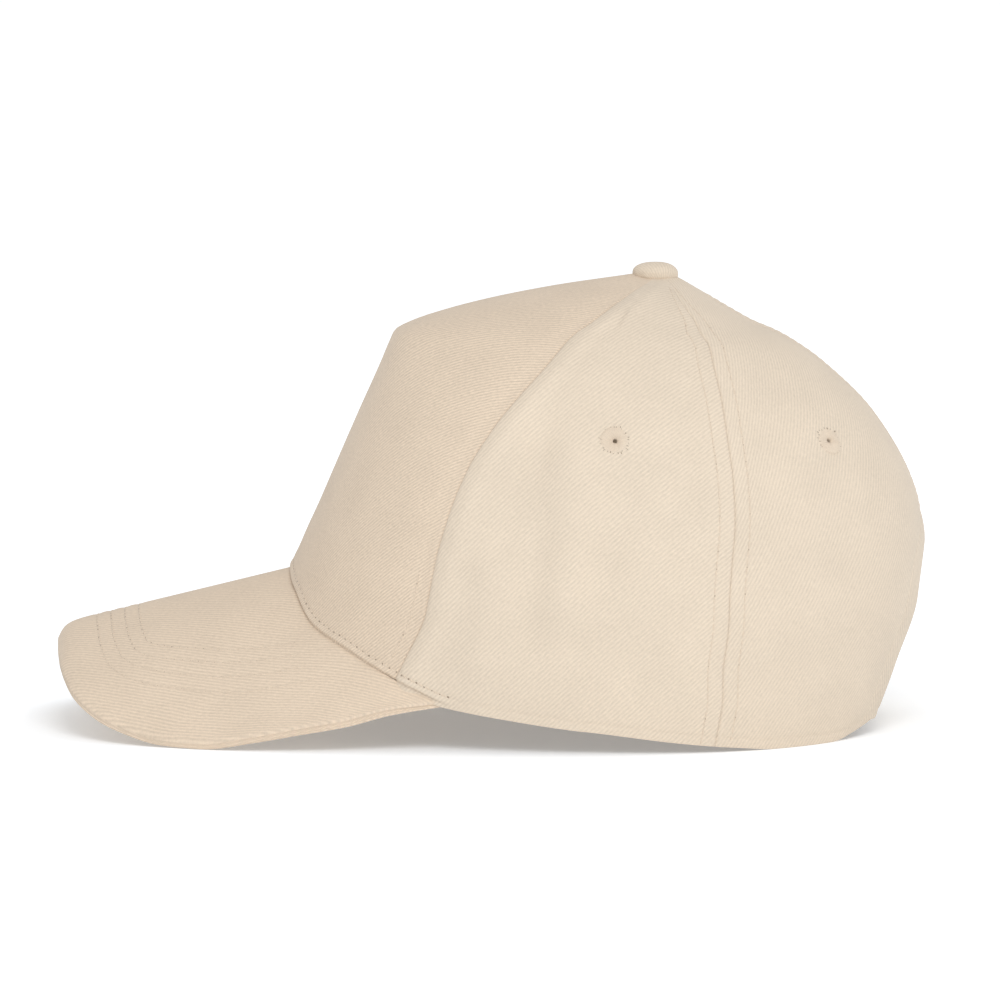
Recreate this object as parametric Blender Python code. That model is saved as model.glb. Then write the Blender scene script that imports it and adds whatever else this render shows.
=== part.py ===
"""Five panel cap: a stiff front panel, two side panels, two back panels, a curved peak, a top button,
four stitched eyelets and a plain back strap. The cap rests on its rim and on the sides of its peak.
Sizes are in millimetres and become metres when the meshes are made. The peak points to -Y, the
wearer's left is +X, and Z = 0 is the surface that the cap rests on."""
import math

import bmesh
import bpy
from mathutils import Vector

MILLIMETRE = 0.001

# Driving dimensions
CROWN_HEIGHT = 146.7
HALF_WIDTH = 82.0
FACE_REACH = 134.0
BACK_REACH = 87.0
PEAK_REACH = 194.4
PEAK_INSET = 5.0
PEAK_THICKNESS = 3.4
PEAK_CURVE = 56.0
PEAK_SLOPE = 0.268
PANEL_WALL = 1.5
FRONT_WALL = 2.0
SEAM_GAP = 0.3
ARCH_TOP = 61.0
ARCH_HALF_WIDTH = 30.0
STRAP_BASE = 7.0
STRAP_HEIGHT = 19.0
STRAP_WALL = 1.5
STRAP_TUCK = 15.0
STRAP_BULGE = 1.4
STRAP_CLEARANCE = 0.6
BUTTON_RADIUS = 7.4
BUTTON_RISE = 3.2
EYELET_RADIUS = 4.8
EYELET_HOLE = 0.9
EYELET_WALL = 2.0
CUTTER_LENGTH = 12.0

# The origin is below the middle of the overall length, so the button's axis lies behind it
BUTTON_AXIS = (PEAK_REACH - BACK_REACH) / 2


def table(header, *rows):
    """Named columns from rows."""
    return {name: [row[place] for row in rows] for place, name in enumerate(header)}


# Level sections of the crown. Height is a share of CROWN_HEIGHT, front of FACE_REACH
# in the middle, shoulder of it further round, side of HALF_WIDTH, and middle, where the side is
# widest, and back are shares of BACK_REACH.
SECTIONS = table(
    ("height", "front", "shoulder", "side", "middle", "back", "front_power", "back_power"),
    (0.000, 0.955, 0.955, 0.995, -0.27, 0.833, 2.2, 2.25),
    (0.072, 0.958, 0.958, 1.000, -0.27, 0.883, 2.2, 2.25),
    (0.155, 0.950, 0.950, 1.003, -0.26, 0.932, 2.2, 2.25),
    (0.300, 0.900, 0.900, 1.003, -0.25, 0.998, 2.2, 2.25),
    (0.416, 0.851, 0.850, 0.985, -0.25, 1.000, 2.2, 2.25),
    (0.490, 0.814, 0.812, 0.962, -0.24, 0.984, 2.2, 2.25),
    (0.560, 0.781, 0.778, 0.930, -0.24, 0.946, 2.2, 2.25),
    (0.690, 0.719, 0.706, 0.840, -0.22, 0.815, 2.2, 2.20),
    (0.800, 0.665, 0.632, 0.724, -0.19, 0.628, 2.2, 2.16),
    (0.850, 0.642, 0.588, 0.648, -0.17, 0.510, 2.2, 2.12),
    (0.870, 0.631, 0.566, 0.610, -0.16, 0.447, 2.2, 2.10),
    (0.889, 0.592, 0.537, 0.566, -0.15, 0.370, 2.2, 2.08),
    (0.913, 0.515, 0.480, 0.500, -0.13, 0.297, 2.1, 2.05),
    (0.939, 0.405, 0.390, 0.415, -0.10, 0.223, 2.1, 2.02),
    (0.966, 0.260, 0.260, 0.288, -0.06, 0.147, 2.0, 2.00),
    (0.985, 0.130, 0.130, 0.160, -0.02, 0.092, 2.0, 2.00),
    (1.000, 0.025, 0.025, 0.041, 0.00, 0.039, 2.0, 2.00),
)
# The corner across the top of the front panel fades out between these azimuths
CORNER_FADE_ANGLES = (14.0, 58.0)

# The rim around the crown, below its peak and then along its sides, from the front to the back.
# Rise is a share of CROWN_HEIGHT. Seat is the thickness of the peak there, a share of its own.
RIM = table(
    ("azimuth", "rise", "seat"),
    (0, 0.320, 1.00),
    (16, 0.290, 1.00),
    (31, 0.226, 1.00),
    (43, 0.187, 1.00),
    (51, 0.154, 0.98),
    (58, 0.124, 0.90),
    (63.5, 0.107, 0.50),
    (66.5, 0.098, 0.30),
    (72, 0.0860, 0.00),
    (79, 0.0720, 0.00),
    (91, 0.0476, 0.00),
    (106, 0.0210, 0.00),
    (117, 0.0080, 0.00),
    (127, 0.0000, 0.00),
    (144, 0.0000, 0.00),
    (152, 0.0150, 0.00),
    (162, 0.0370, 0.00),
    (180, 0.0600, 0.00),
)

# The peak's edge from its tip to its corner at the crown. Across is a share of its half width, which
# is PEAK_INSET less than the crown's, forward of PEAK_REACH and top of CROWN_HEIGHT.
PEAK_EDGE = table(
    ("along", "across", "forward", "top"),
    (0.00, 0.000, 1.000, 0.196),
    (0.15, 0.286, 0.992, 0.172),
    (0.29, 0.519, 0.969, 0.105),
    (0.40, 0.669, 0.926, 0.066),
    (0.49, 0.760, 0.874, 0.0390),
    (0.57, 0.831, 0.813, 0.0200),
    (0.64, 0.896, 0.746, 0.0171),
    (0.72, 0.948, 0.669, 0.0335),
    (0.80, 0.981, 0.592, 0.0540),
    (0.88, 0.994, 0.514, 0.0735),
    (0.94, 0.990, 0.437, 0.0980),
    (1.00, 0.972, 0.352, 0.1085),
)

# Seams as azimuths in degrees, by height as a share of CROWN_HEIGHT
SEAMS = table(
    ("height", "front_seam", "back_seam"),
    (0.10, 55.0, 111.0),
    (0.20, 58.0, 110.0),
    (0.30, 60.3, 110.3),
    (0.47, 60.0, 111.6),
    (0.60, 62.0, 112.5),
    (0.69, 65.5, 113.8),
    (0.76, 69.8, 116.3),
    (0.82, 74.2, 118.6),
    (0.88, 77.8, 124.0),
    (0.92, 81.0, 128.0),
    (0.96, 83.6, 128.0),
    (1.00, 86.0, 127.0),
)
# Azimuth of the peak's corner at the crown
PEAK_CORNER_ANGLE = 66.5

# Azimuth and height of each eyelet, with the height as a share of CROWN_HEIGHT
EYELETS = {"side": (92.5, 0.672), "back": (140.5, 0.658)}

# The button from under its edge to its top, with reach as a share of BUTTON_RADIUS and rise of the
# way from the crown to the top
BUTTON_RINGS = table(
    ("reach", "rise"),
    (0.50, 0.00),
    (0.86, 0.00),
    (0.99, 0.14),
    (1.00, 0.38),
    (0.94, 0.62),
    (0.80, 0.81),
    (0.55, 0.94),
    (0.22, 1.00),
)

# Rows of the panels, as shares of the way from the rim to the back opening's top, and heights above it
LOW_ROWS = (0.0, 0.22, 0.44, 0.64, 0.80, 0.91, 0.975, 1.0)
HIGH_ROWS = (0.49, 0.56, 0.63, 0.69, 0.745, 0.80, 0.85, 0.87, 0.889, 0.913, 0.939, 0.966, 0.985, 1.0)

CLOTH = {
    "sand_front": (0.68, 0.54, 0.42),
    "sand_side": (0.79, 0.67, 0.53),
    "sand_thread": (0.72, 0.60, 0.46),
}


# Rows of the peak's mesh outward from the crown, and its columns across
PEAK_ROWS = (0.0, 0.18, 0.38, 0.58, 0.76, 0.90, 0.975)
PEAK_COLUMNS = 34


def smooth(places, values, place):
    """A curve through the values that never overshoots them."""
    place = min(max(place, places[0]), places[-1])
    index = 0
    while index < len(places) - 2 and place > places[index + 1]:
        index += 1
    steps = [b - a for a, b in zip(places, places[1:])]
    slopes = [(b - a) / step for a, b, step in zip(values, values[1:], steps)]

    def tangent(at):
        if at == 0:
            return slopes[0]
        if at == len(slopes):
            return slopes[-1]
        before, after = slopes[at - 1], slopes[at]
        return 0.0 if before * after <= 0 else 2 * before * after / (before + after)

    step = steps[index]
    t = (place - places[index]) / step
    near, far = tangent(index) * step, tangent(index + 1) * step
    a, b = values[index], values[index + 1]
    return (
        a * (2 * t**3 - 3 * t**2 + 1)
        + b * (3 * t**2 - 2 * t**3)
        + near * (t**3 - 2 * t**2 + t)
        + far * (t**3 - t**2)
    )


def section(name, height):
    """One column of the crown's sections at a height."""
    return smooth(SECTIONS["height"], SECTIONS[name], height / CROWN_HEIGHT)


def crown(azimuth, height):
    """A point outside the crown, by the azimuth in degrees from the front round the wearer's left."""
    angle = math.radians(azimuth)
    middle = BACK_REACH * section("middle", height)
    if math.cos(angle) > 0:
        fade = smooth(CORNER_FADE_ANGLES, (0.0, 1.0), abs(azimuth))
        fade = fade**2 * (3 - 2 * fade)
        reach = -FACE_REACH * (section("front", height) * (1 - fade) + section("shoulder", height) * fade)
        power = section("front_power", height)
    else:
        reach = BACK_REACH * section("back", height)
        power = section("back_power", height)
    across = HALF_WIDTH * section("side", height) * abs(math.sin(angle)) ** (2 / power)
    along = (reach - middle) * abs(math.cos(angle)) ** (2 / power)
    return Vector((math.copysign(across, math.sin(angle)), BUTTON_AXIS + middle + along, height))


def crown_outward(azimuth, height):
    """The direction out of the crown's surface."""
    up = min(height + 0.4, CROWN_HEIGHT)
    turn = crown(azimuth + 0.5, height) - crown(azimuth - 0.5, height)
    rise = crown(azimuth, up) - crown(azimuth, up - 0.8)
    return turn.cross(rise).normalized()


def rim(azimuth):
    """Height of the crown's lower edge."""
    return CROWN_HEIGHT * smooth(RIM["azimuth"], RIM["rise"], abs(azimuth))


def seat(azimuth):
    """Thickness of the peak where it meets the crown."""
    return PEAK_THICKNESS * smooth(RIM["azimuth"], RIM["seat"], abs(azimuth))


def seam(name, height):
    """Azimuth of a seam at a height."""
    return smooth(SEAMS["height"], SEAMS[name], height / CROWN_HEIGHT)


def azimuth_across(across, height):
    """Azimuth at the back of the crown where it is this far from the middle."""
    half = HALF_WIDTH * section("side", height)
    sine = min(across / half, 1.0) ** (section("back_power", height) / 2)
    return 180 - math.degrees(math.asin(sine))


def arch(height, base):
    """Half the width of the back opening at a height."""
    share = min(max((height - base) / (ARCH_TOP - base), 0.0), 1.0)
    return ARCH_HALF_WIDTH * (1 - share**2.4) ** (1 / 2.4)


def back_edge(height):
    """Azimuth of the back panels' free edge, at the middle seam or along the opening."""
    across = SEAM_GAP / 2
    if height < ARCH_TOP:
        across = max(across, arch(height, rim(160)))
    return azimuth_across(across, height)


def seam_side(azimuth, height, side):
    """An azimuth half a seam gap to one side of a seam."""
    per_degree = (crown(azimuth + 0.5, height) - crown(azimuth - 0.5, height)).length
    return azimuth + side * SEAM_GAP / 2 / per_degree


def heights(azimuth):
    """Heights of the rows of a panel's mesh along one azimuth."""
    base = rim(azimuth)
    low = [base + share * (ARCH_TOP - base) for share in LOW_ROWS]
    return low + [share * CROWN_HEIGHT for share in HIGH_ROWS]


def material(name):
    """The material of a cloth, with a soft dull surface."""
    made = bpy.data.materials.get(name)
    if made is None:
        made = bpy.data.materials.new(name)
        made.use_nodes = True
        shader = made.node_tree.nodes["Principled BSDF"]
        shader.inputs["Base Color"].default_value = (*CLOTH[name], 1.0)
        shader.inputs["Roughness"].default_value = 0.9
        shader.inputs["Metallic"].default_value = 0.0
    return made


def solid(name, points, faces, cloth):
    """An object from points in millimetres, with its faces turned outward."""
    shape = bmesh.new()
    corners = [shape.verts.new(point * MILLIMETRE) for point in points]
    for face in faces:
        shape.faces.new([corners[index] for index in face])
    bmesh.ops.recalc_face_normals(shape, faces=shape.faces)
    mesh = bpy.data.meshes.new(name)
    shape.to_mesh(mesh)
    shape.free()
    mesh.shade_smooth()
    made = bpy.data.objects.new(name, mesh)
    made.data.materials.append(material(cloth))
    bpy.context.scene.collection.objects.link(made)
    return made


def grid_faces(rows, columns, start=0, closed=False):
    """Faces of a grid whose points are listed row by row."""
    faces = []
    for row in range(rows - 1):
        for column in range(columns if closed else columns - 1):
            after = (column + 1) % columns
            a = start + row * columns
            faces.append((a + column, a + after, a + columns + after, a + columns + column))
    return faces


def sheet_solid(name, outside, inside, cloth):
    """A closed wall between two grids with the same rows and columns."""
    rows, columns = len(outside), len(outside[0])
    count = rows * columns
    points = [point for row in outside + inside for point in row]
    faces = grid_faces(rows, columns) + grid_faces(rows, columns, count)
    border = list(range(columns))
    border += [row * columns + columns - 1 for row in range(1, rows)]
    border += [(rows - 1) * columns + column for column in range(columns - 2, -1, -1)]
    border += [row * columns for row in range(rows - 2, 0, -1)]
    for here, there in zip(border, border[1:] + border[:1]):
        faces.append((here, there, there + count, here + count))
    return solid(name, points, faces, cloth)


def panel(name, first_edge, last_edge, columns, wall, cloth, mirror=1):
    """A crown panel between two edges, each a function from a height to an azimuth."""
    outside, inside = [], []
    for row in range(len(LOW_ROWS) + len(HIGH_ROWS)):
        outer_row, inner_row = [], []
        for column in range(columns + 1):
            share = column / columns
            height = heights(100)[row]
            for _ in range(4):
                azimuth = first_edge(height) * (1 - share) + last_edge(height) * share
                height = heights(azimuth)[row]
            point = crown(azimuth, height)
            outward = crown_outward(azimuth, height)
            if row == 0:
                outward = Vector((outward.x, outward.y, 0)).normalized()
            inner = point - outward * wall
            outer_row.append(Vector((mirror * point.x, point.y, point.z)))
            inner_row.append(Vector((mirror * inner.x, inner.y, inner.z)))
        outside.append(outer_row)
        inside.append(inner_row)
    return sheet_solid(name, outside, inside, cloth)


def front_seam_edge(height):
    """The front panel's edge at the front seam."""
    return seam_side(seam("front_seam", height), height, -1)


def other_front_seam_edge(height):
    """The front panel's edge at the front seam of the wearer's right."""
    return -front_seam_edge(height)


def side_front_edge(height):
    """The side panel's edge at the front seam."""
    return seam_side(seam("front_seam", height), height, 1)


def side_back_edge(height):
    """The side panel's edge at the back seam."""
    return seam_side(seam("back_seam", height), height, -1)


def back_front_edge(height):
    """The back panel's edge at the back seam."""
    return seam_side(seam("back_seam", height), height, 1)


def make_crown():
    """The five panels."""
    front = panel("front_panel", other_front_seam_edge, front_seam_edge, 20, FRONT_WALL, "sand_front")
    made = {"front_panel": front}
    for side, mirror in (("left", 1), ("right", -1)):
        for place, first, last, columns in (
            ("side", side_front_edge, side_back_edge, 11),
            ("back", back_front_edge, back_edge, 12),
        ):
            name = f"{side}_{place}_panel"
            made[name] = panel(name, first, last, columns, PANEL_WALL, "sand_side", mirror)
    return made


def peak_form(across, forward):
    """Height of a plain curved peak, which the real one follows closely."""
    start = FACE_REACH * section("front", CROWN_HEIGHT * RIM["rise"][0])
    drop = across**2 / (2 * PEAK_CURVE)
    return rim(0) + seat(0) - PEAK_SLOPE * (forward - start) - drop


def peak_edge(name, along):
    """One column of the peak's edge, the same on both sides."""
    return smooth(PEAK_EDGE["along"], PEAK_EDGE[name], abs(along))


def peak_azimuth(along):
    """Azimuth where the peak meets the crown, by the share of the way from its middle to its corner."""
    return PEAK_CORNER_ANGLE * math.copysign(abs(along) ** 0.9, along)


def peak_top(along, out):
    """A point of the peak's upper face, along its edge from the middle and outward from the crown."""
    azimuth = peak_azimuth(along)
    height = rim(azimuth) + seat(azimuth)
    inner = crown(azimuth, height) + crown_outward(azimuth, height) * SEAM_GAP
    across = (HALF_WIDTH - PEAK_INSET) * peak_edge("across", along)
    forward = PEAK_REACH * peak_edge("forward", along)
    top = CROWN_HEIGHT * peak_edge("top", along)
    edge = Vector((math.copysign(across, along), BUTTON_AXIS - forward, top))
    point = inner.lerp(edge, out)
    near = inner.z - peak_form(inner.x, BUTTON_AXIS - inner.y)
    far = edge.z - peak_form(edge.x, BUTTON_AXIS - edge.y)
    point.z = peak_form(point.x, BUTTON_AXIS - point.y) + near * (1 - out) + far * out
    return point


def peak_thickness(along, out):
    """Thickness of the peak, thinner at its corners."""
    edge = PEAK_THICKNESS * smooth((0, 0.9, 1), (1, 0.9, 0.45), abs(along))
    return seat(peak_azimuth(along)) * (1 - out) + edge * out


def peak_bottom(along, out):
    """A point of the peak's lower face."""
    if out == 0:
        azimuth = peak_azimuth(along)
        return crown(azimuth, rim(azimuth)) + crown_outward(azimuth, rim(azimuth)) * SEAM_GAP
    return peak_top(along, out) - Vector((0, 0, peak_thickness(along, out)))


def make_peak():
    """The peak, a curved plate with a rounded edge."""
    alongs = [-1 + 2 * column / PEAK_COLUMNS for column in range(PEAK_COLUMNS + 1)]
    upper = [[peak_top(along, out) for along in alongs] for out in PEAK_ROWS]
    lower = [[peak_bottom(along, out) for along in alongs] for out in PEAK_ROWS]
    for rounded, share in ((upper, 0.35), (lower, 0.70)):
        drops = [Vector((0, 0, share * peak_thickness(along, 1))) for along in alongs]
        rounded.append([peak_top(along, 1) - drop for along, drop in zip(alongs, drops)])
    return sheet_solid("peak", upper, lower, "sand_front")


def crown_height_at(azimuth, radius):
    """Height of the crown's top at a distance from the button's axis."""
    low, high = 0.9 * CROWN_HEIGHT, CROWN_HEIGHT
    for _ in range(30):
        height = (low + high) / 2
        point = crown(azimuth, height)
        if math.hypot(point.x, point.y - BUTTON_AXIS) > radius:
            low = height
        else:
            high = height
    return low


def make_button():
    """The cloth covered button, whose underside follows the top of the crown."""
    turns = 24
    top = CROWN_HEIGHT + BUTTON_RISE
    points = []
    for reach, rise in zip(BUTTON_RINGS["reach"], BUTTON_RINGS["rise"]):
        radius = BUTTON_RADIUS * reach
        for turn in range(turns):
            angle = 360 * turn / turns
            seat_height = crown_height_at(angle, radius) + SEAM_GAP
            point = Vector((radius * math.sin(math.radians(angle)), 0, 0))
            point.y = BUTTON_AXIS - radius * math.cos(math.radians(angle))
            point.z = seat_height * (1 - rise) + top * rise
            points.append(point)
    faces = grid_faces(len(BUTTON_RINGS["reach"]), turns, closed=True)
    faces.append(tuple(range(turns)))
    faces.append(tuple(range(len(points) - turns, len(points))))
    return solid("top_button", points, faces, "sand_side")


def strap_face(across, height):
    """Where the strap's outer face lies: inside the panels, and nearly straight between them."""
    held = min(abs(across), ARCH_HALF_WIDTH)
    azimuth = azimuth_across(max(abs(across), ARCH_HALF_WIDTH), height)
    inner = crown(azimuth, height) - crown_outward(azimuth, height) * (PANEL_WALL + STRAP_CLEARANCE)
    bulge = STRAP_BULGE * (1 - (held / ARCH_HALF_WIDTH) ** 2)
    beyond = max(abs(inner.x) - ARCH_HALF_WIDTH, 0)
    return Vector((math.copysign(beyond + held, across), inner.y + bulge, height))


def make_strap():
    """The plain strap across the back opening."""
    outside, inside = [], []
    half = ARCH_HALF_WIDTH + STRAP_TUCK
    for row in range(4):
        height = STRAP_BASE + STRAP_HEIGHT * row / 3
        outer_row, inner_row = [], []
        for column in range(21):
            across = -half + 2 * half * column / 20
            face = strap_face(across, height)
            ahead = strap_face(across + 1, height) - strap_face(across - 1, height)
            outward = Vector((-ahead.y, ahead.x, 0)).normalized()
            outer_row.append(face)
            inner_row.append(face - outward * STRAP_WALL)
        outside.append(outer_row)
        inside.append(inner_row)
    return sheet_solid("back_strap", outside, inside, "sand_side")


def make_eyelets(panels):
    """The stitched eyelets, each a ring in a hole of its panel."""
    for place, (azimuth, share) in EYELETS.items():
        height = share * CROWN_HEIGHT
        for side, mirror in (("left", 1), ("right", -1)):
            outward = crown_outward(azimuth, height)
            middle = crown(azimuth, height) - outward * PANEL_WALL / 2
            outward.x *= mirror
            middle.x *= mirror
            turn = Vector((0, 0, 1)).rotation_difference(outward)
            panel_piece = panels[f"{side}_{place}_panel"]
            cut(panel_piece, middle, turn, EYELET_RADIUS + SEAM_GAP)
            ring(f"eyelet_{side}_{place}", middle, turn)


def cut(piece, middle, turn, radius):
    """Cut a round hole through a panel."""
    depth = CUTTER_LENGTH * MILLIMETRE
    bpy.ops.mesh.primitive_cylinder_add(vertices=20, radius=radius * MILLIMETRE, depth=depth)
    cutter = bpy.context.object
    cutter.name = f"cutter_{piece.name}"
    cutter.location = middle * MILLIMETRE
    cutter.rotation_mode = "QUATERNION"
    cutter.rotation_quaternion = turn
    cutter.hide_render = True
    cutter.display_type = "WIRE"
    hole = piece.modifiers.new("eyelet_hole", "BOOLEAN")
    hole.object = cutter
    hole.solver = "EXACT"


def ring(name, middle, turn):
    """A round ring with a small hole."""
    turns = 20
    half = EYELET_WALL / 2
    outline = ((EYELET_HOLE, -0.8 * half), (EYELET_HOLE * 1.8, -half), (EYELET_RADIUS * 0.85, -half))
    outline += ((EYELET_RADIUS, -0.5 * half), (EYELET_RADIUS, 0.5 * half), (EYELET_RADIUS * 0.85, half))
    outline += ((EYELET_HOLE * 1.8, half), (EYELET_HOLE, 0.8 * half))
    points = []
    for radius, lift in outline:
        for step in range(turns):
            angle = 2 * math.pi * step / turns
            reach = Vector((radius * math.cos(angle), radius * math.sin(angle), lift))
            points.append(middle + turn @ reach)
    faces = grid_faces(len(outline), turns, closed=True)
    last = len(points) - turns
    faces += [(step, (step + 1) % turns, last + (step + 1) % turns, last + step) for step in range(turns)]
    return solid(name, points, faces, "sand_thread")


def main():
    """Make every piece of the cap."""
    for old in list(bpy.data.objects):
        bpy.data.objects.remove(old, do_unlink=True)
    panels = make_crown()
    make_peak()
    make_button()
    make_strap()
    make_eyelets(panels)


main()
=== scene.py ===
# %% [markdown]
# # A five panel cap in sand twill
#
# The cap is cloth all over: a stiff front panel, two side panels, two back panels, a stiff peak,
# a covered button, four sewn eyelets and a strap over the back opening. Its looks come from soft
# things: rolled seams, rows of stitches, shallow folds and the slanting ribs of the twill. The
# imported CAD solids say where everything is. Here each one gets a finer piece that stands for it.

# %% Load the solids
import math

import bmesh
import bpy
import numpy as np
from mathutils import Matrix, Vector
from mathutils.bvhtree import BVHTree


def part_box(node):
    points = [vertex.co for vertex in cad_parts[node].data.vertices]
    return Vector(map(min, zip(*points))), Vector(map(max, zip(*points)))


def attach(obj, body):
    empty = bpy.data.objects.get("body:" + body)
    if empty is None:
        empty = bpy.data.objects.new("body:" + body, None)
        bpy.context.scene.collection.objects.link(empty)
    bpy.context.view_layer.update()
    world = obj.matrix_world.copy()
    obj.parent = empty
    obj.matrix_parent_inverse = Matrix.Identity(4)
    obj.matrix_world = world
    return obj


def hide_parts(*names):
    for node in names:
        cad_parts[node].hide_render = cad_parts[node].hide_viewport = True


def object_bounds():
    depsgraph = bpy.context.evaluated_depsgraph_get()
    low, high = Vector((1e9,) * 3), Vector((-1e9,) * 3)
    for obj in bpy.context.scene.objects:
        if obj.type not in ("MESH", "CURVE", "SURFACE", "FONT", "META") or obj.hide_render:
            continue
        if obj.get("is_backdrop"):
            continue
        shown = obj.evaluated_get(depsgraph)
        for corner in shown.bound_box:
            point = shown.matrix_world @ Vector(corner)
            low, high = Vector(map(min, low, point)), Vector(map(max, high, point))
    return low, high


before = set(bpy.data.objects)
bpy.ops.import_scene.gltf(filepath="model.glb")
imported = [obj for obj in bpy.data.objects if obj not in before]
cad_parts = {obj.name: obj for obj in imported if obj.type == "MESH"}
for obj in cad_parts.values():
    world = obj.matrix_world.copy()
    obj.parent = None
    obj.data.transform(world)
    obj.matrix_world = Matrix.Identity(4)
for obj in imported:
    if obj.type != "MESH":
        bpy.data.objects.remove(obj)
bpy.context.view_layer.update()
bpy.ops.object.select_all(action="DESELECT")
MILLIMETRE = 0.001
print("solids:", sorted(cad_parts))

# %% [markdown]
# ## The camera, the floor and the light
#
# The photograph looks at the wearer's left side from far off and a little above. A long lens from
# 2.5 m gives the same flat view. The floor is a light table: it glows, more strongly away from the
# cap, so that it stays white and still keeps the cap's shadow, and it throws light up under the
# peak. The sky is pale all round and a little darker ahead of the peak. One broad soft light stands
# above the camera, so that what faces the camera is bright and what faces forward is a little darker.

# %% Camera
EYE_DISTANCE = 2.5
EYE_ELEVATION = math.radians(6.0)
PICTURE_SIZE = 0.325
AIM = Vector((0.0, 0.0033, 0.0723))

bpy.ops.object.camera_add()
camera = bpy.context.object
camera.location = AIM + EYE_DISTANCE * Vector((math.cos(EYE_ELEVATION), 0, math.sin(EYE_ELEVATION)))
camera.rotation_euler = (AIM - camera.location).to_track_quat("-Z", "Y").to_euler()
camera.data.sensor_width = 36.0
camera.data.lens = 36.0 * EYE_DISTANCE / PICTURE_SIZE
camera.data.clip_end = 40.0
camera.data.dof.use_dof = False
bpy.context.scene.camera = camera
print("lens", round(camera.data.lens, 1), "mm")


# %% A short way to make material nodes
def add_node(tree, kind, values=None, **settings):
    """A node with its settings, and with its sockets' values or links."""
    made = tree.nodes.new(kind)
    for name, value in settings.items():
        setattr(made, name, value)
    for socket, value in (values or {}).items():
        if isinstance(value, bpy.types.NodeSocket):
            tree.links.new(value, made.inputs[socket])
        else:
            made.inputs[socket].default_value = value
    return made


# %% Floor and light
FLOOR_WHITE = (0.945, 0.96, 0.98, 1.0)
FLOOR_LIGHT = (0.95, 0.98, 1.0, 1.0)
FLOOR_GLOW = (0.22, 0.36)
SKY = (0.62, 0.84)

bpy.ops.mesh.primitive_plane_add(size=30.0, location=(0, 0, -0.0001))
floor = bpy.context.object
floor.name = "floor"
floor_paint = bpy.data.materials.new("floor_white")
floor_paint.use_nodes = True
floor_shader = floor_paint.node_tree.nodes["Principled BSDF"]
floor_shader.inputs["Base Color"].default_value = FLOOR_WHITE
floor_shader.inputs["Roughness"].default_value = 0.9
floor_shader.inputs["Emission Color"].default_value = FLOOR_LIGHT
floor_way = add_node(floor_paint.node_tree, "ShaderNodeTexCoord").outputs["Object"]
floor_far = add_node(floor_paint.node_tree, "ShaderNodeVectorMath", {0: floor_way}, operation="LENGTH")
floor_glow = add_node(
    floor_paint.node_tree, "ShaderNodeMapRange",
    {"Value": floor_far.outputs["Value"], "From Min": 0.15, "From Max": 0.60,
     "To Min": FLOOR_GLOW[0], "To Max": FLOOR_GLOW[1]},
)
floor_paint.node_tree.links.new(floor_glow.outputs["Result"], floor_shader.inputs["Emission Strength"])
floor.data.materials.append(floor_paint)
floor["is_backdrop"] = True

world = bpy.data.worlds.new("studio")
world.use_nodes = True
sky_way = add_node(world.node_tree, "ShaderNodeTexCoord").outputs["Generated"]
sky_parts = add_node(world.node_tree, "ShaderNodeSeparateXYZ", {"Vector": sky_way})
sky_strength = add_node(
    world.node_tree, "ShaderNodeMapRange",
    {"Value": sky_parts.outputs["Y"], "From Min": -1.0, "From Max": 1.0,
     "To Min": SKY[0], "To Max": SKY[1]},
)
sky = world.node_tree.nodes["Background"]
sky.inputs["Color"].default_value = (1.0, 1.0, 1.0, 1.0)
world.node_tree.links.new(sky_strength.outputs["Result"], sky.inputs["Strength"])
bpy.context.scene.world = world
bpy.context.scene.view_settings.view_transform = "Standard"


def soft_light(name, azimuth, elevation, distance, size, power):
    """A square light that faces the cap, by its azimuth from the peak round the wearer's left."""
    turn, lift = math.radians(azimuth), math.radians(elevation)
    way = Vector((math.sin(turn) * math.cos(lift), -math.cos(turn) * math.cos(lift), math.sin(lift)))
    bpy.ops.object.light_add(type="AREA", location=AIM + way * distance)
    made = bpy.context.object
    made.name = name
    made.data.size = size
    made.data.energy = power
    made.rotation_euler = (-way).to_track_quat("-Z", "Y").to_euler()
    return made


soft_light("key_light", 97, 40, 2.2, 0.9, 18.6)

# %% [markdown]
# ## The crown as one smooth surface
#
# The solids follow level rings around the button's axis: each ring is a soft oval whose reach to
# the front, the side and the back changes with its height. The same shares are repeated here, and
# the sizes are measured on the solids, so that each finer piece lies on its solid. Azimuth is
# counted in degrees from the peak round the wearer's left, and a minus sign means the right.

# %% Sizes measured on the solids
front_low, front_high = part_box("front_panel")
side_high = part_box("left_side_panel")[1]
back_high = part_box("left_back_panel")[1]
button_low, button_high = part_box("top_button")
peak_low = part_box("peak")[0]
strap_low, strap_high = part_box("back_strap")

WIDEST_RING = 1.003
crown_height = float(front_high[2])
button_axis = float(button_low[1] + button_high[1]) / 2
button_radius = float(button_high[0] - button_low[0]) / 2
half_width = float(side_high[0]) / WIDEST_RING
back_reach = float(back_high[1]) - button_axis
peak_reach = button_axis - float(peak_low[1])


# %% The crown's level rings
def table(header, *rows):
    """Named columns from rows."""
    return {name: np.array([row[place] for row in rows], float) for place, name in enumerate(header)}


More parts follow.
